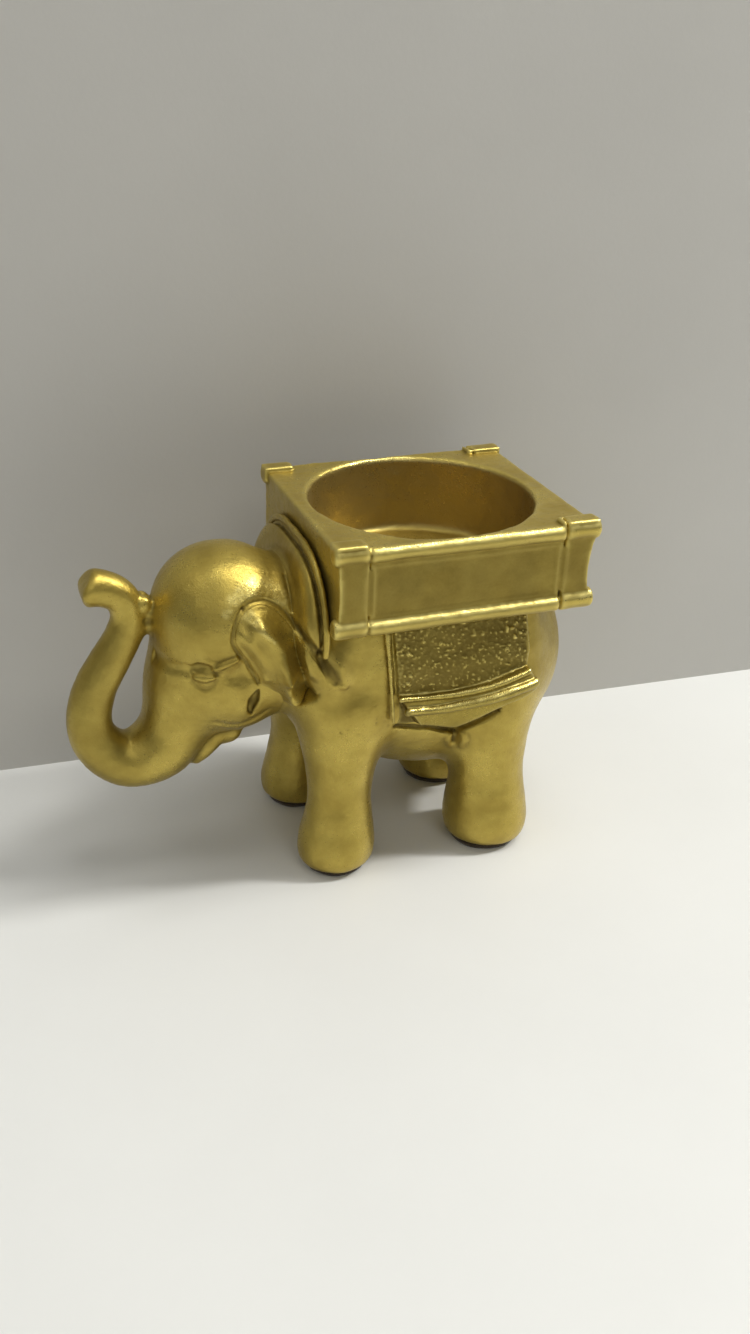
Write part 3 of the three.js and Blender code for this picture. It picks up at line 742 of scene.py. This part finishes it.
# ------------------------------------------------------------------ howdah box
def build_box():
    v = Vol([-23.6, -21.8, 48.0], [24.6, 0, 65.4], 0.33 * FINE)
    X, Y, Z = v.grid()
    ZLO, ZHI = 48.72, 64.0
    # end faces hollow a little between the mouldings
    mid = np.maximum(np.sin(np.pi * clamp((Z - ZLO) / (ZHI - ZLO))), 0) ** 1.2
    waist = 0.75 * mid
    bow = 0.35 * np.cos(np.pi * clamp(X / 44.0, -0.5, 0.5))
    x0, x1 = -22.0 + waist * 0.5, 23.0 - waist
    half = 20.2 - bow * 0.35
    core = smax(np.maximum(x0 - X, X - x1), np.maximum(np.maximum(ZLO - Z, Z - ZHI), np.abs(Y) - half), 0.5)
    v.F = (core + 0 * X + 0 * Y + 0 * Z).astype(f32)
    # corner posts
    post = np.maximum(-16.9 - X, X - 17.6)  # positive inside the post zones
    posts = smax(-post, np.maximum(np.maximum(x0 - X, X - x1), np.maximum(np.maximum(ZLO + 0.4 - Z, Z - ZHI + 0.4), np.abs(Y) - 20.62 + 0.2 * mid)), 0.35)
    v.F = smin(v.F, posts.astype(f32), 0.25)
    # faint raised frame round the recessed panel
    fx = np.maximum(-15.9 - X, X - 16.6)
    fz = np.maximum(51.9 - Z, Z - 60.9)
    rim = np.abs(np.maximum(fx, fz)) - 0.25
    frame_line = np.sqrt(np.maximum(rim, 0) ** 2 + (np.abs(Y) - half + 0.02) ** 2) - 0.13
    v.F = smin(v.F, frame_line.astype(f32), 0.3)
    # rolled mouldings, bowed along their length
    for zc, r in ((62.75, 1.28), (50.15, 1.3)):
        yc = 19.86 - bow * 0.35
        roll = np.sqrt((np.abs(Y) - yc) ** 2 + (Z - zc) ** 2) - r
        roll = smax(roll, np.maximum(-16.7 - X, X - 17.4), 0.4)
        v.F = smin(v.F, (roll + 0 * X).astype(f32), 0.2)
    # caps: short thicker rolls on the corners
    for zc in (63.05, 50.45):
        for c0, c1, tip in ((-22.6, -16.9, -1), (17.6, 23.6, 1)):
            flare = 0.14 * np.abs(np.sin((X - c0) / (c1 - c0) * np.pi * 1.0))
            cap = np.sqrt((np.abs(Y) - 19.45) ** 2 + (Z - zc) ** 2) - (1.72 + (0.1 if tip > 0 else 0.0) - flare)
            cap = smax(cap, np.maximum(c0 - X, X - c1), 0.7)
            v.F = smin(v.F, (cap + 0 * X).astype(f32), 0.2)
    for c0, c1 in ((-22.5, -17.2), (16.7, 23.4)):
        flat = smax(np.maximum(c0 - X, X - c1), np.maximum(np.maximum(17.6 - np.abs(Y), np.abs(Y) - 20.75), np.maximum(Z - 64.74, 62.0 - Z)), 0.3)
        v.F = smin(v.F, flat.astype(f32), 0.15)
    # dark notches between rolls and caps
    for x, wide, deep in ((-16.8, 0.1, 1.25), (17.5, 0.16, 0.95)):
        for zc in (62.8, 50.2):
            out = np.sqrt((np.abs(Y) - 19.5) ** 2 + (Z - zc) ** 2)
            lean = 0.2 * (np.abs(Y) - 19.5) * (1 if x > 0 else -1)
            d = smax(smax(np.abs(X - x + lean) - wide, deep - out, 0.1), out - 2.4, 0.1)
            v.F = smax(v.F, -d.astype(f32), 0.2)
    # cup
    rr = np.sqrt(X**2 + Y**2)
    wall = 19.15 + (Z - 50.0) / 14.0 * 0.2
    cup = smax(rr - wall, 50.0 - Z, 1.6)
    cup = smin(cup, smax(rr - 19.55 + 0 * Z, 63.7 - Z, 0.2), 0.5)
    v.F = smax(v.F, -cup.astype(f32), 0.45)
    return mesh_of(v)


# --------------------------------------------------------------- making objects
def crease_of(V, Q, e, h):
    N = normals_of(V, Q)
    S = V.copy()
    n = len(V)
    out = []
    marks = {int(6 / FINE): 0.10, int(40 / FINE**2): 0.55}
    for i in range(1, max(marks) + 1):
        S = S + 0.7 * (spread(e, S, n) - S)
        if i in marks:
            out.append(((S - V) * N).sum(1) / marks[i])
    fine, wide = out
    return clamp(fine * 0.55), clamp(wide * 0.6), clamp(-fine * 0.55), N


def roughen(V, N, seed, low=0.11, mid=0.05, fine=0.02):
    d = low * noise(V, 7.5, seed) + mid * noise(V, 2.6, seed + 1) + fine * noise(V, 0.85, seed + 2)
    return V + N * d[:, None]


def make(name, V, Q, e, mat, mirror=False, seed=1, h=0.3, rough=(0.11, 0.05, 0.02), hold=None):
    if mirror:
        V = V * np.array([1.0, -1.0, 1.0])
        Q = Q[:, ::-1]
    fine, wide, edge, N = crease_of(V, Q, e, h)
    W = roughen(V, N, seed, *rough)
    if hold is not None:
        W = hold(W, V)
    W = (W + np.array([CUP_X, 0, 0])) * 0.001
    me = bpy.data.meshes.new(name)
    me.vertices.add(len(W))
    me.vertices.foreach_set("co", W.astype(f32).ravel())
    me.loops.add(len(Q) * 4)
    me.loops.foreach_set("vertex_index", Q.astype(np.int32).ravel())
    me.polygons.add(len(Q))
    me.polygons.foreach_set("loop_start", np.arange(0, len(Q) * 4, 4, dtype=np.int32))
    me.polygons.foreach_set("loop_total", np.full(len(Q), 4, np.int32))
    me.update(calc_edges=True)
    me.validate()
    # crease and hollow carry the surface's concavity, which the paint darkens as painted shade; edge carries its
    # convexity
    for key, val in (("crease", fine), ("hollow", wide), ("edge", edge)):
        a = me.attributes.new(key, "FLOAT", "POINT")
        a.data.foreach_set("value", val.astype(f32))
    me.polygons.foreach_set("use_smooth", np.ones(len(Q), bool))
    ob = bpy.data.objects.new(name, me)
    bpy.context.scene.collection.objects.link(ob)
    me.materials.append(mat)
    print("%s: %d vertices, %.1f s" % (name, len(V), time.time() - T0))
    return ob


# -------------------------------------------------------------------- materials
def nodes_of(name):
    m = bpy.data.materials.new(name)
    m.use_nodes = True
    nt = m.node_tree
    bsdf = next(n for n in nt.nodes if n.type == "BSDF_PRINCIPLED")
    return m, nt, bsdf


class Net:
    def __init__(self, nt):
        self.nt = nt
        self.co = nt.nodes.new("ShaderNodeTexCoord").outputs["Object"]

    def noise(self, scale, detail=3.0, rough=0.5, stretch=None):
        n = self.nt.nodes.new("ShaderNodeTexNoise")
        n.inputs["Scale"].default_value = scale
        n.inputs["Detail"].default_value = detail
        n.inputs["Roughness"].default_value = rough
        src = self.co
        if stretch:
            m = self.nt.nodes.new("ShaderNodeMapping")
            m.inputs["Scale"].default_value = stretch
            self.nt.links.new(src, m.inputs["Vector"])
            src = m.outputs["Vector"]
        self.nt.links.new(src, n.inputs["Vector"])
        return n.outputs["Fac"]

    def attr(self, name):
        n = self.nt.nodes.new("ShaderNodeAttribute")
        n.attribute_name = name
        return n.outputs["Fac"]

    def ramp(self, src, stops):
        n = self.nt.nodes.new("ShaderNodeValToRGB")
        el = n.color_ramp.elements
        while len(el) < len(stops):
            el.new(0.5)
        for e, (p, c) in zip(el, stops):
            e.position = p
            e.color = (*c, 1) if len(c) == 3 else c
        self.nt.links.new(src, n.inputs["Fac"])
        return n.outputs["Color"]

    def math(self, op, a, b=None, clamp_it=False):
        n = self.nt.nodes.new("ShaderNodeMath")
        n.operation = op
        n.use_clamp = clamp_it
        for i, v in enumerate((a, b)):
            if v is None:
                continue
            if isinstance(v, (int, float)):
                n.inputs[i].default_value = v
            else:
                self.nt.links.new(v, n.inputs[i])
        return n.outputs[0]

    def remap(self, src, a, b, c=0.0, d=1.0):
        n = self.nt.nodes.new("ShaderNodeMapRange")
        n.inputs["From Min"].default_value = a
        n.inputs["From Max"].default_value = b
        n.inputs["To Min"].default_value = c
        n.inputs["To Max"].default_value = d
        self.nt.links.new(src, n.inputs["Value"])
        return n.outputs["Result"]

    def mix(self, fac, a, b):
        n = self.nt.nodes.new("ShaderNodeMix")
        n.data_type = "RGBA"
        for i, v in ((0, fac), (6, a), (7, b)):
            if isinstance(v, (int, float)):
                n.inputs[i].default_value = v
            elif isinstance(v, tuple):
                n.inputs[i].default_value = (*v, 1)
            else:
                self.nt.links.new(v, n.inputs[i])
        return n.outputs[2]

    def bump(self, height, strength, distance, normal=None):
        n = self.nt.nodes.new("ShaderNodeBump")
        n.inputs["Strength"].default_value = strength
        n.inputs["Distance"].default_value = distance
        self.nt.links.new(height, n.inputs["Height"])
        if normal is not None:
            self.nt.links.new(normal, n.inputs["Normal"])
        return n.outputs["Normal"]


GOLD_A = (0.53, 0.405, 0.088)
GOLD_B = (0.40, 0.293, 0.056)
# the brown-black that creases and hollows are darkened toward: partly the paint's own brown in its recesses, partly
# painted shade
WASH_AND_SHADE = (0.085, 0.056, 0.010)


def gold(name, light=GOLD_A, dark=GOLD_B, rough=0.33, cup=False, wash_and_shade=0.92, edge_wear_highlight=0.0):
    m, nt, bsdf = nodes_of(name)
    g = Net(nt)
    patch = g.noise(150.0, 4.0, 0.55)
    col = g.mix(g.remap(patch, 0.35, 0.65), dark, light)
    # brushed-on paint: fine streaks that vary the tone
    streak = g.noise(900.0, 3.0, 0.6, (0.35, 1.0, 0.5))
    col = g.mix(g.math("MULTIPLY", g.remap(streak, 0.45, 0.75), 0.22), col, tuple(min(1, c * 1.25) for c in light))
    # mottled darkening in creases and broad hollows: partly brown wash in the paint, partly painted shade
    shade_mottle = g.noise(420.0, 5.0, 0.65)
    hollow = g.math("MULTIPLY", g.attr("hollow"), g.remap(shade_mottle, 0.3, 0.6, 0.5, 1.0))
    crease = g.math("MAXIMUM", g.math("MULTIPLY", g.attr("crease"), 1.0), g.math("MULTIPLY", hollow, 0.75), True)
    col = g.mix(g.math("MULTIPLY", crease, wash_and_shade), col, WASH_AND_SHADE)
    # brighter gold on convex edges: partly rubbed wear, partly painted highlight
    if edge_wear_highlight:
        col = g.mix(g.math("MULTIPLY", g.attr("edge"), edge_wear_highlight, True), col, (0.80, 0.66, 0.20))
    # painted highlight: bright gold where the mesh marks it
    painted_highlight = g.attr("painted_highlight")
    col = g.mix(g.math("MULTIPLY", painted_highlight, 0.85), col, (0.88, 0.75, 0.26))
    speck = g.remap(g.noise(1500.0, 2.0, 0.5), 0.70, 0.76)
    col = g.mix(g.math("MULTIPLY", speck, 0.35), col, (0.22, 0.155, 0.035))
    # darker inside the cup, less on its floor: painted shade; lighter streaks where the paint ran
    if cup:
        inside = g.attr("cup")
        run = g.attr("run")
        col = g.mix(g.math("MULTIPLY", inside, 0.85), col, (0.44, 0.325, 0.115))
        col = g.mix(g.math("MULTIPLY", run, 0.6), col, (0.52, 0.42, 0.18))
    nt.links.new(col, bsdf.inputs["Base Color"])
    bsdf.inputs["Metallic"].default_value = 0.78
    fine = g.noise(2600.0, 3.0, 0.6)
    r = g.math("ADD", g.remap(fine, 0.3, 0.7, rough - 0.07, rough + 0.07), g.math("MULTIPLY", crease, 0.25))
    r = g.math("ADD", r, g.math("MULTIPLY", painted_highlight, -0.06))
    r = g.math("ADD", r, g.remap(patch, 0.35, 0.65, 0.03, -0.03), True)
    nt.links.new(r, bsdf.inputs["Roughness"])
    flake = g.noise(5200.0, 2.0, 0.7)
    n1 = g.bump(flake, 0.6, 0.00006)
    n2 = g.bump(g.noise(1500.0, 3.0, 0.6), 0.42, 0.00014, n1)
    nt.links.new(n2, bsdf.inputs["Normal"])
    return m


def felt(name):
    m, nt, bsdf = nodes_of(name)
    g = Net(nt)
    fibres = g.noise(5200.0, 4.0, 0.7, (1.0, 0.4, 1.0))
    tone = g.noise(600.0, 3.0, 0.5)
    col = g.mix(g.remap(fibres, 0.3, 0.7), (0.035, 0.026, 0.017), (0.10, 0.075, 0.048))
    col = g.mix(g.math("MULTIPLY", g.remap(tone, 0.4, 0.7), 0.4), col, (0.06, 0.046, 0.03))
    nt.links.new(col, bsdf.inputs["Base Color"])
    bsdf.inputs["Roughness"].default_value = 0.95
    bsdf.inputs["Sheen Weight"].default_value = 0.35
    bsdf.inputs["Sheen Roughness"].default_value = 0.5
    nt.links.new(g.bump(fibres, 0.8, 0.00012), bsdf.inputs["Normal"])
    return m


def plain(name, color, rough=0.7, scale=60.0, amount=0.05, bump=0.15):
    m, nt, bsdf = nodes_of(name)
    g = Net(nt)
    soft = g.noise(scale, 4.0, 0.55)
    col = g.mix(g.remap(soft, 0.3, 0.7), tuple(c * (1 - amount) for c in color), color)
    nt.links.new(col, bsdf.inputs["Base Color"])
    bsdf.inputs["Roughness"].default_value = rough
    nt.links.new(g.bump(g.noise(900.0, 4.0, 0.6), bump, 0.0002), bsdf.inputs["Normal"])
    return m


paint = gold("satin_gold_paint")
paint_box = gold("satin_gold_paint_box", (0.56, 0.43, 0.092), (0.43, 0.315, 0.058), cup=True, rough=0.33, wash_and_shade=0.78, edge_wear_highlight=0.8)
# a darker copy of the gold paint for the saddle cloth: painted shade under the howdah
paint_cloth_shaded = gold("satin_gold_paint_cloth_shaded", (0.40, 0.305, 0.06), (0.30, 0.22, 0.038), rough=0.30, wash_and_shade=1.0, edge_wear_highlight=0.9)
felt_mat = felt("dark_felt")

# ------------------------------------------------------------------- the pieces
def add_painted_shade(ob, V, val):
    """Painted shade: darkens a groove, a hollow or a side by raising the crease attribute, on top of what the surface's
    own curvature gives.
    """
    a = ob.data.attributes["crease"]
    was = np.empty(len(V), f32)
    a.data.foreach_get("value", was)
    a.data.foreach_set("value", clamp(np.maximum(was, val)).astype(f32))


def paint_highlight(ob, val):
    """Painted highlight: brighter, smoother gold along the crests of mouldings and ridges."""
    a = ob.data.attributes.new("painted_highlight", "FLOAT", "POINT")
    a.data.foreach_set("value", clamp(val).astype(f32))


def near_line(V, line, radii, amount):
    line = np.asarray(line, float)
    best = np.full(len(V), 1e9)
    at = np.zeros(len(V))
    for i, (p, q) in enumerate(zip(line[:-1], line[1:])):
        d = q - p
        u = clamp(((V[:, 0] - p[0]) * d[0] + (V[:, 2] - p[1]) * d[1]) / (d @ d))
        dist = np.hypot(V[:, 0] - p[0] - u * d[0], V[:, 2] - p[1] - u * d[1])
        at = np.where(dist < best, (i + u) / (len(line) - 1), at)
        best = np.minimum(best, dist)
    r = np.interp(at, np.linspace(0, 1, len(radii)), radii)
    return amount * step(1.15, 0.45, best / r) * (np.abs(V[:, 1]) > 6)


BACK_OF_EAR = [[-27.2, 49.8], [-26.0, 48.2], [-24.9, 46.6], [-23.7, 44.9], [-22.6, 43.3], [-21.6, 41.7], [-20.7, 40.0]]
CHIN_PIT = [[-32.5, 36.3], [-32.9, 35.2], [-33.3, 34.0], [-33.4, 32.8]]
CRACK = [[-9.6, 28.6], [-7.7, 28.0], [-5.0, 27.2], [-2.8, 27.0], [1.0, 26.0], [3.2, 26.8], [4.7, 27.8], [5.8, 28.6], [7.1, 29.4], [9.1, 30.6]]


# painted shade along the groove behind the ear, in the chin pit, in the crack under the cloth, beside the blanket hem
# and at the nape
def dark_places(V):
    mottled = 0.85 + 0.3 * noise(V, 1.1, 41)
    d = near_line(V, BACK_OF_EAR, [0.3, 0.45, 0.7, 0.95, 1.25, 1.35, 0.8], 0.85)
    d = np.maximum(d, near_line(V, CHIN_PIT, [0.7, 1.1, 1.1, 0.8], 0.8))
    d = np.maximum(d, near_line(V, CRACK, [0.4, 0.5, 0.45, 0.55, 0.8, 1.0, 0.85, 0.8, 0.6, 0.3], 1.0))
    d = np.maximum(d, near_line(V, [[2.2, 24.9], [2.3, 22.9]], [0.55, 0.4], 0.8))
    rim = np.abs(arch_edge(V[:, 1], V[:, 2]))
    d = np.maximum(d, 0.8 * bell(V[:, 0] + 23.45, 0.45) * step(2.2, 1.0, rim) * (V[:, 2] > 45))
    d = np.maximum(d, 0.45 * bell(V[:, 0] - seam_x(V[:, 2]) + 0.5, 1.0) * step(49.5, 52.0, V[:, 2]) * (np.hypot(V[:, 1], V[:, 2] - 45) < 14.5))
    return d * mottled


V, Q, e = build_body()
sole = lambda W, V0: np.where((V0[:, 2] < 1.2)[:, None], np.stack([W[:, 0], W[:, 1], np.maximum(W[:, 2], SOLE + 0.02)], 1), W)
body = make("elephant_body", V, Q, e, paint, seed=3, h=0.4, hold=sole)
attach(body, "root")
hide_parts("body_casting")
# painted shade in the grooves, and a painted shadow of the howdah on the rump
add_painted_shade(body, V, np.maximum(dark_places(V), 0.38 * step(12.0, 19.0, V[:, 0]) * step(30.0, 40.0, V[:, 2])))
# much less painted shade on the body behind the blanket hem, above z 49
a = body.data.attributes["crease"]
was = np.empty(len(V), f32)
a.data.foreach_get("value", was)
a.data.foreach_set("value", (was * (1 - 0.85 * step(-22.9, -22.4, V[:, 0]) * (V[:, 2] > 49))).astype(f32))

V, Q, e = build_head()
head = make("elephant_head", V, Q, e, paint, seed=3, h=0.29)
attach(head, "root")
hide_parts("head_and_trunk")
# painted shade in the grooves and on the forward part of the trunk
add_painted_shade(head, V, np.maximum(dark_places(V), 0.22 * step(-50.0, -57.0, V[:, 0]) * step(52.0, 46.0, V[:, 2])))

# painted highlight: a sparkling band of bright gold on the dome just above the ear
OVER_EAR = [[-37.6, 51.3], [-36.3, 53.2], [-34.2, 54.3], [-31.8, 54.4], [-29.6, 53.6], [-27.6, 52.2]]
sparkle = clamp(0.75 + 0.9 * noise(V, 0.45, 61))
paint_highlight(head, near_line(V, OVER_EAR, [0.7, 1.1, 1.3, 1.4, 1.5, 1.3], 0.62) * sparkle)

V, Q, e = build_ear()
for side, node in (("left", "left_ear"), ("right", "right_ear")):
    ob = make("elephant_ear_" + side, V, Q, e, paint, mirror=side == "right", seed=3 if side == "left" else 5, h=0.24)
    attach(ob, "root")
    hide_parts(node)
    # painted shade behind the ear and a painted highlight along the top of its front roll
    add_painted_shade(ob, V, dark_places(V) * step(-0.5, 0.4, V[:, 0] + 26.5))
    paint_highlight(ob, near_line(V, [[-35.4, 51.2], [-33.6, 50.9], [-32.1, 49.2], [-30.6, 47.2]], [0.8, 1.1, 0.9, 0.4], 0.5) * clamp(0.7 + 0.8 * noise(V, 0.5, 62)))

V, Q, e = build_collar()
ob = make("blanket_hem", V, Q, e, paint, seed=12, h=0.2, rough=(0.06, 0.06, 0.03))
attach(ob, "root")
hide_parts("blanket_collar")

V, Q, e = build_saddle()
for side, node in (("left", "left_saddle_panel"), ("right", "right_saddle_panel")):
    ob = make("saddle_cloth_" + side, V, Q, e, paint_cloth_shaded, mirror=side == "right", seed=3 if side == "left" else 8, h=0.21, rough=(0.11, 0.05, 0.03))
    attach(ob, "root")
    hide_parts(node)
    # painted shade on the cloth between the grains, in the open wedge and under the first roll
    add_painted_shade(ob, V, CLOTH_SHADE)
    N = normals_of(V, Q)
    low = V[:, 2] < 37.9
    # painted highlight on the upward faces of the rolled hems
    paint_highlight(ob, step(0.30, 0.62, N[:, 2]) * step(0.95, 0.75, N[:, 2]) * low * (N[:, 1] < -0.2) * (0.75 + 0.5 * noise(V, 0.9, 52)) * step(33.4, 34.0, V[:, 2] + 0.12 * V[:, 0] * 0 + 2.0 * (V[:, 2] > 31.0)))

V, Q, e = build_box()
box = make("howdah", V, Q, e, paint_box, seed=21, h=0.33, rough=(0.12, 0.07, 0.03))
n = len(V)
r = np.hypot(V[:, 0], V[:, 1])
# painted shade inside the cup: full on the walls, a quarter of it on the floor
inside = step(19.9, 19.5, r) * step(63.9, 63.3, V[:, 2]) * (0.25 + 0.75 * step(50.25, 51.3, V[:, 2]))
run = bell(V[:, 0] + 18.3 + 1.2 * noise(V, 5.0, 2), 1.3) * step(60.5, 57.5, V[:, 2]) * 0 + step(0.25, 0.75, noise(V * np.array([1, 1, 0.45]), 2.6, 4) * 0.5 + 0.75 * bell(V[:, 0] + 17.6, 2.2) * (V[:, 1] > 0)) * inside * step(50.2, 52.0, V[:, 2]) * (V[:, 1] > 0) * (V[:, 0] < -12)
N = normals_of(V, Q)
panel = step(0.55, 0.9, np.abs(N[:, 1])) * step(1.25, 0.95, np.abs(V[:, 1]) - 19.9) * step(19.55, 19.7, np.abs(V[:, 1]))
roll = step(2.0, 1.5, np.minimum(np.abs(V[:, 2] - 62.75), np.abs(V[:, 2] - 50.15))) * step(18.4, 18.9, np.abs(V[:, 1]))
out = np.abs(N[:, 1])
# painted highlight on the upper faces of the rolled mouldings
paint_highlight(box, roll * step(0.18, 0.45, N[:, 2]) * step(0.99, 0.90, N[:, 2]) * step(0.08, 0.25, out) * (0.8 + 0.5 * noise(V, 0.8, 51)))
# painted shade on the undersides of the rolled mouldings
add_painted_shade(box, V, roll * 0.42 * step(-0.05, -0.5, N[:, 2]) * step(0.1, 0.3, out))
# painted shade on the side faces of the box, darker than its top
add_painted_shade(box, V, panel * (0.70 + 0.14 * noise(V, 4.0, 31)))
for key, val in (("cup", inside), ("run", run)):
    a = box.data.attributes.new(key, "FLOAT", "POINT")
    a.data.foreach_set("value", val.astype(f32))
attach(box, "root")
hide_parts("howdah_box")


def pad(name, x, y, r, seed):
    """A felt disc, slightly uneven round its cut edge."""
    rs = np.random.RandomState(seed)
    bm = bmesh.new()
    seg = 72
    wob = [0.10 * math.sin(3 * a + seed) + 0.05 * math.sin(7 * a + 2 * seed) + 0.03 * (rs.rand() - 0.5) for a in np.linspace(0, 2 * math.pi, seg, endpoint=False)]
    rings = []
    for rr, z in ((r - 1.4, 0.80), (r - 0.16, 0.79), (r, 0.68), (r + 0.04, 0.40), (r, 0.12), (r - 0.14, 0.01), (r - 1.4, 0.0)):
        ring = []
        for k in range(seg):
            a = 2 * math.pi * k / seg
            q = rr + wob[k] * (1 if rr > r - 1 else 0.3)
            ring.append(bm.verts.new(((x + CUP_X + q * math.cos(a)) * 0.001, (y + q * math.sin(a)) * 0.001, z * 0.001)))
        rings.append(ring)
    for a, b in zip(rings[:-1], rings[1:]):
        for k in range(seg):
            bm.faces.new((a[k], b[k], b[(k + 1) % seg], a[(k + 1) % seg]))
    for ring, z, flip in ((rings[0], 0.80, False), (rings[-1], 0.0, True)):
        c = bm.verts.new(((x + CUP_X) * 0.001, y * 0.001, z * 0.001))
        for k in range(seg):
            f = (c, ring[k], ring[(k + 1) % seg])
            bm.faces.new(f[::-1] if flip else f)
    bmesh.ops.recalc_face_normals(bm, faces=bm.faces)
    me = bpy.data.meshes.new(name)
    bm.to_mesh(me)
    bm.free()
    for p in me.polygons:
        p.use_smooth = True
    me.materials.append(felt_mat)
    ob = bpy.data.objects.new(name, me)
    bpy.context.scene.collection.objects.link(ob)
    return ob


for i, (node, x, y, r) in enumerate(
    (
        ("front_left_foot_pad", -18.4, -11.5, 5.55),
        ("front_right_foot_pad", -18.4, 11.5, 5.55),
        ("rear_left_foot_pad", 11.0, -11.8, 6.25),
        ("rear_right_foot_pad", 11.0, 11.8, 6.25),
    )
):
    ob = pad(node.replace("foot_pad", "felt"), x, y, r, i + 1)
    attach(ob, "root")
    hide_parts(node)


# ------------------------------------------------------------- stage and camera
def sheet(name, corners, mat, n=1):
    me = bpy.data.meshes.new(name)
    me.from_pydata([tuple(c) for c in corners], [], [(0, 1, 2, 3)])
    me.update()
    me.materials.append(mat)
    ob = bpy.data.objects.new(name, me)
    bpy.context.scene.collection.objects.link(ob)
    return ob


table = plain("white_table", (0.80, 0.81, 0.80), 0.45, 25.0, 0.03, 0.05)
wall_mat = plain("pale_wall", (0.60, 0.59, 0.56), 0.8, 18.0, 0.05, 0.1)
W0, W1 = np.array([-0.0471, 0.0364]), np.array([0.0879, 0.0301])  # where the wall stands on the table
along = (W1 - W0) / np.linalg.norm(W1 - W0)
back_dir = np.array([-along[1], along[0]])
a, b = W0 - along * 1.6, W1 + along * 1.6
sheet("table_top", [(a[0], a[1], 0), (a[0] - back_dir[0] * 2.2, a[1] - back_dir[1] * 2.2, 0), (b[0] - back_dir[0] * 2.2, b[1] - back_dir[1] * 2.2, 0), (b[0], b[1], 0)], table)
sheet("wall", [(a[0], a[1], 0), (b[0], b[1], 0), (b[0], b[1], 1.2), (a[0], a[1], 1.2)], wall_mat)

scene = bpy.context.scene
cam_data = bpy.data.cameras.new("camera")
cam_data.sensor_width = 36
cam_data.lens = 35.08
cam_data.clip_start = 0.005
cam = bpy.data.objects.new("camera", cam_data)
scene.collection.objects.link(cam)
yaw, pitch, roll = math.radians(-21.621), math.radians(27.755), math.radians(2.086)
back = Vector((math.sin(yaw) * math.cos(pitch), -math.cos(yaw) * math.cos(pitch), math.sin(pitch)))
right = Vector((math.cos(yaw), math.sin(yaw), 0))
up = back.cross(right)
right2 = right * math.cos(roll) + up * math.sin(roll)
up2 = up * math.cos(roll) - right * math.sin(roll)
M = Matrix((right2, up2, back)).transposed().to_4x4()
M.translation = Vector((-0.0666, -0.19337, 0.1412))
cam.matrix_world = M
scene.camera = cam
scene.view_settings.view_transform = "Standard"


def area(name, pos, target, size, power, color=(1, 1, 1)):
    d = bpy.data.lights.new(name, "AREA")
    d.shape = "DISK"
    d.size = size
    d.energy = power
    d.color = color
    ob = bpy.data.objects.new(name, d)
    pos, target = Vector(pos), Vector(target)
    ob.matrix_world = Matrix.Translation(pos) @ (target - pos).to_track_quat("-Z", "Y").to_matrix().to_4x4()
    scene.collection.objects.link(ob)


mid = (0.0, 0.0, 0.035)
for i, (az, el, size, power) in enumerate(
    (
        (-13, 44, 0.13, 6.6),
        (-12, 62, 0.22, 3.4),
        (-60, 84, 0.34, 1.6),
        (-80, 50, 0.50, 0.9),
        (-108, 34, 1.20, 1.3),
        (-145, 30, 0.40, 0.3),
        (-176, 55, 0.40, 1.0),
    )
):
    az, el = math.radians(az), math.radians(el)
    area("light_%d" % i, tuple(c * 1.15 + o for c, o in zip((math.cos(az) * math.cos(el), math.sin(az) * math.cos(el), math.sin(el)), mid)), mid, size, power, (1.0, 0.985, 0.94))

world = bpy.data.worlds.new("pale_studio")
scene.world = world
world.use_nodes = True
wn = world.node_tree
bg = next(n for n in wn.nodes if n.type == "BACKGROUND")
bg.inputs["Color"].default_value = (0.62, 0.62, 0.60, 1)
bg.inputs["Strength"].default_value = 0.16

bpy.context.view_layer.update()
print("scene built in %.1f s" % (time.time() - T0))
